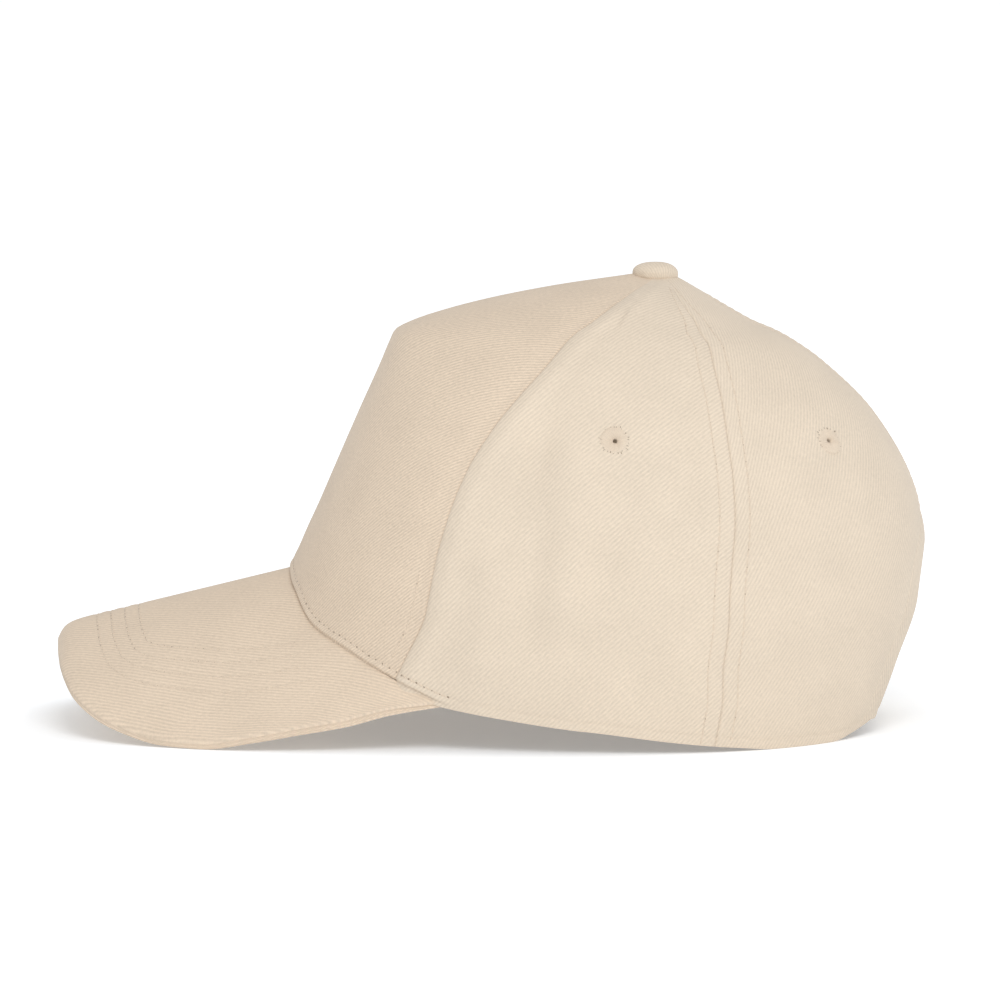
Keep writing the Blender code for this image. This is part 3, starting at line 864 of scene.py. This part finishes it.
# %% The peak's edge and its curved form
PEAK_INSET = 5.0 * MILLIMETRE
PEAK_CURVE = 56.0 * MILLIMETRE
PEAK_SLOPE = 0.268
PEAK_ROWS = (13.0, 17.5, 22.0, 26.5)
PEAK_RIBS = 58
PEAK_EDGE = table(
    ("along", "across", "forward", "top"),
    (-0.15, -0.286, 0.992, 0.1763),
    (0.00, 0.000, 1.000, 0.2175),
    (0.15, 0.286, 0.992, 0.1763),
    (0.29, 0.519, 0.969, 0.1150),
    (0.40, 0.669, 0.926, 0.0675),
    (0.49, 0.760, 0.874, 0.0390),
    (0.57, 0.831, 0.813, 0.0200),
    (0.64, 0.896, 0.746, 0.0171),
    (0.72, 0.948, 0.669, 0.0335),
    (0.80, 0.981, 0.592, 0.0540),
    (0.88, 0.994, 0.514, 0.0735),
    (0.94, 0.990, 0.437, 0.0980),
    (1.00, 0.972, 0.352, 0.1085),
)


def peak_form(across, forward):
    """Height of a plain curved peak."""
    start = face_reach * ring("front", rim(0.0))
    base = rim(0.0) + seat(0.0)
    return base - PEAK_SLOPE * (forward - start) - across**2 / (2 * PEAK_CURVE)


def edge_share(name, along):
    """One column of the peak's edge, the same on both sides."""
    return smooth(PEAK_EDGE["along"], PEAK_EDGE[name], np.abs(along))


def peak_azimuth(along):
    """Azimuth where the peak meets the crown."""
    return PEAK_CORNER * np.copysign(np.abs(along) ** 0.9, along)


def peak_edge(along):
    """Points of the peak's upper edge."""
    across = (half_width - PEAK_INSET) * edge_share("across", along)
    forward = peak_reach * edge_share("forward", along)
    top = crown_height * edge_share("top", along)
    return np.stack([np.copysign(across, along), button_axis - forward, top], -1)


def peak_thickness(along, out):
    """Thickness of the peak, thinner at its corners."""
    full = PEAK_THICKNESS * smooth(np.array([0, 0.9, 1.0]), np.array([1, 0.9, 0.45]), np.abs(along))
    return seat(peak_azimuth(along)) * (1 - out) + full * out


edge_line = peak_edge(np.linspace(-1, 1, 601))


def from_edge(points):
    """How far points lie from the peak's edge, seen from above, in millimetres."""
    gaps = [np.linalg.norm(edge_line[:, :2] - point[:2], axis=1).min() for point in points]
    return np.array(gaps) / MILLIMETRE


def peak_top(along, out):
    """Points of the peak's upper face, outward from the crown, before it is stitched."""
    azimuth = peak_azimuth(along)
    height = rim(azimuth) + seat(azimuth)
    inner = crown(azimuth, height) - outward(azimuth, height) * 0.3 * MILLIMETRE
    edge = peak_edge(along)
    point = inner * (1 - out) + edge * out
    near = inner[..., 2] - peak_form(inner[..., 0], button_axis - inner[..., 1])
    far = edge[..., 2] - peak_form(edge[..., 0], button_axis - edge[..., 1])
    point[..., 2] = peak_form(point[..., 0], button_axis - point[..., 1]) + near * (1 - out) + far * out
    return point


# %% The peak's grid, wrapped round its edge
PEAK_COLUMNS = 221
OUT_STEPS = np.concatenate([np.linspace(0, 0.94, 64), [0.958, 0.972, 0.984, 0.992, 0.997]])
NOSE = ((0.10, 1.0), (0.28, 1.0), (0.50, 1.0), (0.72, 1.0), (0.90, 1.0))


def wrap_peak():
    """A closed skin: out over the top, round the edge and back underneath."""
    along = np.sign(np.linspace(-1, 1, PEAK_COLUMNS)) * np.abs(np.linspace(-1, 1, PEAK_COLUMNS)) ** 0.95
    rows, flat = [], []
    spread = np.concatenate([OUT_STEPS, np.ones(len(NOSE)), OUT_STEPS[::-1]])
    count = len(OUT_STEPS)
    for index, out in enumerate(spread):
        top = peak_top(along, out)
        thick = peak_thickness(along, out)
        gap = from_edge(top)
        pressed = sum(bump(gap, row, 0.75) for row in PEAK_ROWS)
        swell = sum(bump(gap, row + 2.2, 1.2) for row in PEAK_ROWS[:-1]) * 0.5
        fade = np.clip((gap - 1) / 6, 0, 1) * np.clip((1 - out) * 12, 0, 1)
        front = 0.35 + 0.65 * bump(along, 0, 0.42)
        depth = (0.26 * pressed - 0.12 * swell) * front * fade * MILLIMETRE
        rounding = 0.30 * thick * np.clip((out - 0.965) / 0.035, 0, 1) ** 2
        droop = 4.2 * bump(along, 0, 0.20) * np.exp(-gap / 2.2) * MILLIMETRE
        top[:, 2] -= droop
        wrapped = np.zeros((PEAK_COLUMNS, 2))
        if index < count:
            top[:, 2] -= depth + rounding
        elif index < count + len(NOSE):
            share = NOSE[index - count][0]
            way = np.stack([np.gradient(edge_line[:, 1]), -np.gradient(edge_line[:, 0])], -1)
            way /= np.linalg.norm(way, axis=1, keepdims=True)
            where = np.linspace(-1, 1, len(edge_line))
            push = 0.45 * MILLIMETRE * math.sin(math.pi * (0.15 + 0.7 * share))
            for axis in (0, 1):
                aside = -np.interp(along, where, way[:, axis])
                top[:, axis] += push * aside
                wrapped[:, axis] = aside * thick * share
            top[:, 2] -= thick * (0.30 + 0.40 * share)
        else:
            top[:, 2] -= thick - depth - rounding
        rows.append(top)
        curved = top[:, 0] * (1 + (top[:, 0] / PEAK_CURVE) ** 2 / 6)
        flat.append(np.stack([curved, top[:, 1]], -1) + wrapped)
    return np.array(rows), np.array(flat)


peak_rows, peak_flat = wrap_peak()
bpy.ops.mesh.primitive_grid_add(
    x_subdivisions=PEAK_COLUMNS - 1, y_subdivisions=len(peak_rows) - 1, size=1.0
)
peak = bpy.context.object
peak.name = "twill_peak"
peak.data.vertices.foreach_set("co", peak_rows.reshape(-1))
write_cloth_map(peak, peak_flat.reshape(-1, 2), PEAK_RIBS)
skin = bmesh.new()
skin.from_mesh(peak.data)
skin.verts.ensure_lookup_table()
last_row = (len(peak_rows) - 1) * PEAK_COLUMNS
for column in range(PEAK_COLUMNS - 1):
    joined = (column + 1, column, last_row + column, last_row + column + 1)
    skin.faces.new([skin.verts[index] for index in joined])
for column in (0, PEAK_COLUMNS - 1):
    skin.faces.new([skin.verts[row * PEAK_COLUMNS + column] for row in range(len(peak_rows))])
bmesh.ops.triangulate(skin, faces=[face for face in skin.faces if len(face.verts) > 4])
bmesh.ops.recalc_face_normals(skin, faces=skin.faces)
skin.to_mesh(peak.data)
skin.free()
finish_piece(peak, [peak_cloth], ["peak"])

# %% [markdown]
# ## The button
#
# The button is a small metal dome with a round of the same twill pulled over it. A sphere is
# flattened to the solid's outline, sits on the crown, and its cloth map is laid over it from above.

# %% Button
BUTTON_RINGS = table(
    ("turn", "reach", "rise"),
    (0.00, 0.00, 1.00),
    (0.12, 0.28, 0.985),
    (0.25, 0.54, 0.92),
    (0.38, 0.77, 0.79),
    (0.50, 0.92, 0.61),
    (0.60, 0.99, 0.42),
    (0.70, 1.00, 0.25),
    (0.80, 0.98, 0.10),
    (0.90, 0.88, 0.00),
    (1.00, 0.40, -0.10),
)
BUTTON_CLOTH = 2.3
BUTTON_RIBS = 20
bpy.ops.mesh.primitive_uv_sphere_add(segments=72, ring_count=36, radius=1.0)
button = bpy.context.object
button.name = "twill_button"
spots = np.zeros(len(button.data.vertices) * 3)
button.data.vertices.foreach_get("co", spots)
spots = spots.reshape(-1, 3)
turn_down = np.arccos(np.clip(spots[:, 2], -1, 1)) / math.pi
angle = np.arctan2(spots[:, 0], -spots[:, 1])
reach = button_radius * smooth(BUTTON_RINGS["turn"], BUTTON_RINGS["reach"], turn_down)
rise = smooth(BUTTON_RINGS["turn"], BUTTON_RINGS["rise"], turn_down)
gather = 0.10 * MILLIMETRE * np.cos(angle * 11 + 0.6 * np.sin(angle * 3)) * bump(rise, 0.2, 0.25)
reach = reach + gather
top_heights = crown_height * np.array([0.90, 0.93, 0.95, 0.97, 0.985, 1.0])
crown_tops = np.array([cloth(np.full(6, turn), top_heights) for turn in np.linspace(-180, 180, 73)])
crown_radii = np.hypot(crown_tops[..., 0], crown_tops[..., 1] - button_axis)
seat_heights = np.array([np.interp(0.98 * button_radius, radii[::-1], tops[::-1])
                         for radii, tops in zip(crown_radii, crown_tops[..., 2])])
base = np.interp(angle, np.linspace(-math.pi, math.pi, 73), seat_heights) - 0.7 * MILLIMETRE
top = float(button_high[2])
cover = np.stack(
    [reach * np.sin(angle), button_axis - reach * np.cos(angle), base + (top - base) * rise], -1
)
button.data.vertices.foreach_set("co", cover.reshape(-1))
over = button_radius * BUTTON_CLOTH * turn_down
write_cloth_map(button, np.stack([over * np.sin(angle), -over * np.cos(angle)], -1), BUTTON_RIBS)
finish_piece(button, [side_cloth], ["top_button"])

# %% [markdown]
# ## The strap and the hem of the back opening
#
# The back isn't in the photograph. Its outline there shows a hem that stands a little proud around
# the opening, so a narrow band of the same twill follows the opening's edge. A plain strap of
# the same cloth crosses the opening inside the panels.

# %% Back strap
STRAP_TUCK = 15.0 * MILLIMETRE
STRAP_WALL = 1.5 * MILLIMETRE
STRAP_BULGE = 1.4 * MILLIMETRE
STRAP_CLEARANCE = 0.6 * MILLIMETRE
STRAP_RIBS = 40


def strap_face(across, height):
    """Where the strap's outer face lies."""
    held = np.minimum(np.abs(across), OPENING_HALF_WIDTH)
    azimuth = azimuth_across(np.maximum(np.abs(across), OPENING_HALF_WIDTH), height)
    inner = crown(azimuth, height) - outward(azimuth, height) * (PANEL_WALL + STRAP_CLEARANCE)
    bulge = STRAP_BULGE * (1 - (held / OPENING_HALF_WIDTH) ** 2)
    beyond = np.maximum(np.abs(inner[..., 0]) - OPENING_HALF_WIDTH, 0)
    out = np.copysign(beyond + held, across)
    return np.stack([out, inner[..., 1] + bulge, height + 0 * across], -1)


STRAP_COLUMNS = 91
STRAP_ROWS = 23
strap_across = np.linspace(1, -1, STRAP_COLUMNS) * (OPENING_HALF_WIDTH + STRAP_TUCK)
strap_heights = np.linspace(float(strap_low[2]), float(strap_high[2]), STRAP_ROWS)
strap_points = np.array(
    [strap_face(strap_across, np.full(STRAP_COLUMNS, height)) for height in strap_heights]
)
bpy.ops.mesh.primitive_grid_add(
    x_subdivisions=STRAP_COLUMNS - 1, y_subdivisions=STRAP_ROWS - 1, size=1.0
)
strap = bpy.context.object
strap.name = "twill_back_strap"
strap.data.vertices.foreach_set("co", strap_points.reshape(-1))
strap_flat = np.stack(np.meshgrid(-strap_across, strap_heights), -1).reshape(-1, 2)
write_cloth_map(strap, strap_flat, STRAP_RIBS)
apply_modifier(strap, "SOLIDIFY", thickness=STRAP_WALL, offset=-1.0)
apply_modifier(
    strap, "BEVEL", width=0.4 * MILLIMETRE, segments=3, limit_method="ANGLE",
    angle_limit=math.radians(50),
)
finish_piece(strap, [side_cloth], ["back_strap"])

# %% Hem around the back opening
HEM_WIDTH = 8.0 * MILLIMETRE
HEM_RISE = 0.5 * MILLIMETRE
HEM_WALL = 1.0 * MILLIMETRE
HEM_RIBS = 50


def opening_line(count):
    """Points of the opening's edge, as across and height, from the left rim over to the right one."""
    base = float(rim(OPENING_FOOT))
    turn = np.linspace(-1, 1, 801) * math.pi / 2
    across = -OPENING_HALF_WIDTH * np.sign(np.sin(turn)) * np.abs(np.sin(turn)) ** (2 / OPENING_POWER)
    height = base + (OPENING_TOP - base) * np.abs(np.cos(turn)) ** (2 / OPENING_POWER)
    line = np.stack([across, height], -1)
    walked = np.concatenate([[0], np.cumsum(np.linalg.norm(np.diff(line, axis=0), axis=1))])
    even = np.linspace(0, walked[-1], count)
    line = np.stack([np.interp(even, walked, line[:, axis]) for axis in (0, 1)], -1)
    ahead = np.gradient(line, axis=0)
    away = np.stack([ahead[:, 1], -ahead[:, 0]], -1)
    away /= np.linalg.norm(away, axis=1, keepdims=True)
    away *= np.where((away * (line - [0, base])).sum(1) < 0, -1, 1)[:, None]
    return line, away, even


def back_point(across, height, lift):
    """A point of the cap's back, by its distance from the middle, its height and its lift."""
    azimuth = azimuth_across(np.abs(across), height)
    azimuth = np.where(across < 0, -azimuth, azimuth)
    return cloth(azimuth, height) + outward(azimuth, height) * lift


HEM_COLUMNS = 15
HEM_ROWS = 181
hem_line, hem_away, hem_walked = opening_line(HEM_ROWS)
hem_steps = np.linspace(-0.2 * MILLIMETRE, HEM_WIDTH, HEM_COLUMNS)
hem_points = np.zeros((HEM_ROWS, HEM_COLUMNS, 3))
for column, step in enumerate(hem_steps):
    spot = hem_line + hem_away * step
    lift = HEM_RISE * (1 - (max(step, 0) / HEM_WIDTH) ** 1.5) + 0.06 * MILLIMETRE
    lowest = rim(azimuth_across(np.abs(spot[:, 0]), spot[:, 1]))
    spot_height = np.maximum(spot[:, 1], lowest - 0.1 * MILLIMETRE)
    hem_points[:, column] = back_point(spot[:, 0], spot_height, lift)
bpy.ops.mesh.primitive_grid_add(x_subdivisions=HEM_COLUMNS - 1, y_subdivisions=HEM_ROWS - 1, size=1.0)
hem = bpy.context.object
hem.name = "twill_opening_hem"
hem.data.vertices.foreach_set("co", hem_points.reshape(-1))
hem_flat = np.stack(np.meshgrid(hem_steps, hem_walked), -1).reshape(-1, 2)
write_cloth_map(hem, hem_flat, HEM_RIBS)
hem.data.update()
middle_face = hem.data.polygons[len(hem.data.polygons) // 2]
if middle_face.normal.y < 0:
    hem.data.flip_normals()
apply_modifier(hem, "SOLIDIFY", thickness=HEM_WALL, offset=-1.0)
apply_modifier(
    hem, "BEVEL", width=0.3 * MILLIMETRE, segments=2, limit_method="ANGLE", angle_limit=math.radians(50)
)
finish_piece(hem, [side_cloth])

# %% [markdown]
# ## Rows of stitches
#
# A stitch is a short thread that comes up out of one needle hole and goes down the next. One small
# stitch and one dark disc, painted shade where the needle hole is, are modelled, then copied along
# each row. The rows are drawn on the cloth as lines, and each copy lies along its line and faces out
# of the cloth. Real needle holes are uneven, so each shaded disc is shrunk by an amount drawn from a
# fixed seed.

# %% One stitch and the painted shade of its needle hole
STITCH_PITCH = 2.8 * MILLIMETRE
STITCH_WIDTH = 0.55 * MILLIMETRE
STITCH_RISE = 0.32 * MILLIMETRE
HOLE_RADIUS = 0.36 * MILLIMETRE
HOLE_LIFT = 0.05 * MILLIMETRE
HOLE_SIDES = 8


def stitch_shape(pitch, hole_radius):
    """Points, faces and materials of one stitch and the painted shade disc of its hole, along the first
    axis.
    """
    bpy.ops.mesh.primitive_uv_sphere_add(segments=8, ring_count=6, radius=0.5)
    thread = bpy.context.object
    bpy.ops.object.mode_set(mode="EDIT")
    bpy.ops.mesh.select_all(action="SELECT")
    bpy.ops.transform.rotate(value=math.pi / 2, orient_axis="Y", center_override=(0, 0, 0))
    bpy.ops.transform.resize(value=(pitch * 0.84, STITCH_WIDTH, STITCH_RISE))
    bpy.ops.object.mode_set(mode="OBJECT")
    bpy.ops.mesh.primitive_circle_add(
        vertices=HOLE_SIDES, radius=hole_radius, fill_type="NGON", location=(pitch / 2, 0, HOLE_LIFT)
    )
    shade_disc = bpy.context.object
    points, faces, kinds = [], [], []
    for kind, made in enumerate((thread, shade_disc)):
        start = len(points)
        points += [list(made.matrix_world @ vertex.co) for vertex in made.data.vertices]
        faces += [[start + index for index in face.vertices] for face in made.data.polygons]
        kinds += [kind] * len(made.data.polygons)
        bpy.data.objects.remove(made, do_unlink=True)
    return np.array(points), faces, kinds


def settle(line, ways, pieces):
    """Move a line onto the pieces that it is sewn to, and give their own ways out."""
    on, out = [], []
    for spot, way in zip(line, ways):
        start, back = Vector(spot) + Vector(way) * 4 * MILLIMETRE, -Vector(way)
        hits = [tree.ray_cast(start, back, 8 * MILLIMETRE) for tree in pieces]
        hits = [hit for hit in hits if hit[0] is not None]
        if hits:
            nearest = min(hits, key=lambda hit: hit[3])
            on.append(list(nearest[0]))
            out.append(list(nearest[1]))
    return np.array(on), np.array(out)


def tree_of(piece):
    """A piece's faces, ready to be met by a ray."""
    spots = [vertex.co.copy() for vertex in piece.data.vertices]
    return BVHTree.FromPolygons(spots, [list(face.vertices) for face in piece.data.polygons])


def copy_shape(name, shape, faces, spots, ahead, up):
    """Many copies of a small shape as one piece, each with its own place and turn."""
    ahead = ahead / np.linalg.norm(ahead, axis=1, keepdims=True)
    beside = np.cross(up, ahead)
    beside /= np.linalg.norm(beside, axis=1, keepdims=True)
    up = np.cross(ahead, beside)
    points = spots[:, None, :] + np.zeros((1, len(shape[0]), 1))
    for axis, way in enumerate((ahead, beside, up)):
        points = points + shape[..., axis:axis + 1] * way[:, None, :]
    size = shape.shape[1]
    every = [[copy * size + index for index in face] for copy in range(len(spots)) for face in faces]
    mesh = bpy.data.meshes.new(name)
    mesh.from_pydata(points.reshape(-1, 3).tolist(), [], every)
    piece = bpy.data.objects.new(name, mesh)
    bpy.context.scene.collection.objects.link(piece)
    mesh.shade_smooth()
    return piece


def sew(name, line, ways, pieces, hole_radius=HOLE_RADIUS, shade_disc=painted_needle_hole_shade, least=0.35, fade=None):
    """A row of stitches along a line of points, each with its way out of the cloth. Holes, dark discs
    of painted shade, are uneven, down to the least size, and fade says how far to the side they have
    shrunk."""
    pitch = STITCH_PITCH
    line, ways = settle(line, ways, pieces)
    walked = np.concatenate([[0], np.cumsum(np.linalg.norm(np.diff(line, axis=0), axis=1))])
    count = int(walked[-1] / pitch)
    at = (np.arange(count) + 0.5) * walked[-1] / count
    spots = np.stack([np.interp(at, walked, line[:, axis]) for axis in range(3)], -1)
    ahead = np.stack([np.interp(at + 0.3 * pitch, walked, line[:, axis]) for axis in range(3)], -1)
    ahead = ahead - spots
    up = np.stack([np.interp(at, walked, ways[:, axis]) for axis in range(3)], -1)
    shape, faces, kinds = stitch_shape(pitch, hole_radius)
    chance = np.random.default_rng(len(line)).uniform(0, 1, (count, 1, 1))
    uneven = least + (1.15 - least) * chance**2
    if fade:
        uneven = uneven * np.clip(1.35 - np.abs(spots[:, :1, None]) / fade, 0.25, 1)
    shapes = np.repeat(shape[None], count, axis=0)
    middle = np.array([pitch / 2, 0, HOLE_LIFT])
    shapes[:, -HOLE_SIDES:] = middle + (shapes[:, -HOLE_SIDES:] - middle) * uneven
    piece = copy_shape(name, shapes, faces, spots, ahead, up)
    mesh = piece.data
    mesh.materials.append(side_thread)
    mesh.materials.append(shade_disc)
    mesh.polygons.foreach_set("material_index", kinds * count)
    mesh.update()
    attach(piece, "root")
    print(name, count, "stitches")
    return piece


# %% Painted shade of the needle holes round the eyelets
MARKS = 26


def shade_eyelet_holes(name, azimuth, height, trees):
    """Small dark discs of painted shade where the eyelet's threads go into the cloth."""
    chance = np.random.default_rng(int(abs(azimuth) * 10))
    way = outward(azimuth, height)
    turn = np.arange(MARKS) * 2 * math.pi / MARKS + chance.uniform(-0.12, 0.12, MARKS)
    side = np.cross([0, 0, 1], way)
    side /= np.linalg.norm(side)
    rise = np.cross(way, side)
    radial = np.cos(turn)[:, None] * side + np.sin(turn)[:, None] * rise
    reach = EYELET_RADIUS * chance.uniform(0.82, 1.03, MARKS)
    middle = cloth(np.array([azimuth]), np.array([height]))[0]
    spots, ways = settle(middle + radial * reach[:, None], np.tile(way, (MARKS, 1)), trees)
    corners = np.arange(HOLE_SIDES) * 2 * math.pi / HOLE_SIDES
    disc = np.stack([np.cos(corners), np.sin(corners), np.zeros(HOLE_SIDES)], -1)
    size = np.stack(
        [chance.uniform(0.12, 0.50, MARKS), chance.uniform(0.07, 0.17, MARKS), np.ones(MARKS)], -1
    )
    shapes = disc[None] * size[:, None, :] * MILLIMETRE + [0, 0, 0.06 * MILLIMETRE]
    piece = copy_shape(name, shapes, [list(range(HOLE_SIDES))], spots, radial, ways)
    piece.data.materials.append(painted_needle_hole_shade)
    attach(piece, "root")


crown_trees = [tree_of(piece) for piece in panels.values()]
for place, (azimuth, share) in EYELETS.items():
    for side, sign in (("left", 1), ("right", -1)):
        shade_eyelet_holes(f"painted_shade_eyelet_{side}_{place}", sign * azimuth, share * crown_height, crown_trees)

# %% Rows beside the back seams and the middle seam
def crown_row(azimuth, height):
    """A line on the cloth and its ways out."""
    return cloth(azimuth, height), outward(azimuth, height)


FAINT_RADIUS = 0.24 * MILLIMETRE
row_heights = np.linspace(0, 1, 400)
for side, sign in (("left", 1), ("right", -1)):
    for place, away in (("front", -STITCH_ROW), ("rear", STITCH_ROW)):
        start = float(rim(111.0)) + 0.6 * MILLIMETRE
        height = start + (0.975 * crown_height - start) * row_heights
        calm = np.clip((crown_height - height) / (16 * MILLIMETRE), 0, 1)
        azimuth = seam("back", height)
        azimuth = azimuth + calm * away * MILLIMETRE / degree_length(azimuth, height)
        sew(f"stitches_{side}_seam_{place}", *crown_row(sign * azimuth, height), crown_trees,
            FAINT_RADIUS, faint_painted_needle_hole_shade, 0.1)
    start = OPENING_TOP + 9 * MILLIMETRE
    height = start + (0.95 * crown_height - start) * row_heights
    azimuth = azimuth_across(np.full(400, STITCH_ROW * MILLIMETRE), height)
    sew(f"stitches_{side}_middle_seam", *crown_row(sign * azimuth, height), crown_trees, FAINT_RADIUS,
        faint_painted_needle_hole_shade, 0.1)
    start = float(rim(55.0) + seat(55.0)) + 6 * MILLIMETRE
    height = start + (0.38 * crown_height - start) * row_heights
    azimuth = seam("front", height)
    azimuth = azimuth - STITCH_ROW * MILLIMETRE / degree_length(azimuth, height)
    sew(f"stitches_{side}_front_seam", *crown_row(sign * azimuth, height), crown_trees,
        0.30 * MILLIMETRE, faint_painted_needle_hole_shade, 0.3)

# %% Row above the peak
azimuth = np.linspace(-PEAK_CORNER - 1, PEAK_CORNER + 1, 900)
height = rim(azimuth) + seat(azimuth) + JOIN_ROW * MILLIMETRE
sew("stitches_over_peak", *crown_row(azimuth, height), crown_trees, 0.40 * MILLIMETRE, painted_needle_hole_shade, 0.6)

# %% Rows on the peak
peak_tree = tree_of(peak)
edge_ahead = np.gradient(edge_line, axis=0)[:, :2]
edge_inward = np.stack([-edge_ahead[:, 1], edge_ahead[:, 0]], -1)
edge_inward /= np.linalg.norm(edge_inward, axis=1, keepdims=True)
if edge_inward[300, 1] < 0:
    edge_inward *= -1
for index, row in enumerate(PEAK_ROWS):
    spots, ways = [], []
    for point, way in zip(edge_line, edge_inward):
        inside = point[:2] + way * row * MILLIMETRE
        gap = np.linalg.norm(edge_line[:, :2] - inside, axis=1).min()
        start = Vector((inside[0], inside[1], 0.2))
        hit, normal, _, _ = peak_tree.ray_cast(start, Vector((0, 0, -1)))
        if hit is None or gap < (row - 0.3) * MILLIMETRE or normal.z < 0.2:
            continue
        spots.append(list(hit))
        ways.append(list(normal))
    spots, ways = np.array(spots), np.array(ways)
    crown_gap = []
    for spot in spots:
        turn = math.degrees(math.atan2(spot[0], button_axis - spot[1]))
        ring_point = crown(turn, np.array(spot[2]))
        radius = math.hypot(spot[0], spot[1] - button_axis)
        crown_gap.append(radius - math.hypot(ring_point[0], ring_point[1] - button_axis))
    keep = np.array(crown_gap) > 3 * MILLIMETRE
    sew(f"stitches_peak_row_{index + 1}", spots[keep], ways[keep], [peak_tree],
        0.26 * MILLIMETRE, painted_needle_hole_shade, 0.5, 0.055)

# %% [markdown]
# ## Sizes and the end
#
# The dressed cap has to stay the size of its solids, so the dressed cap's size is printed.

# %% Print the dressed cap's size
scene_box = [[float(value) for value in corner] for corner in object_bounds()]
for name, low, high in zip("xyz", scene_box[0], scene_box[1]):
    print(name, round(1000 * (high - low), 1), "mm")
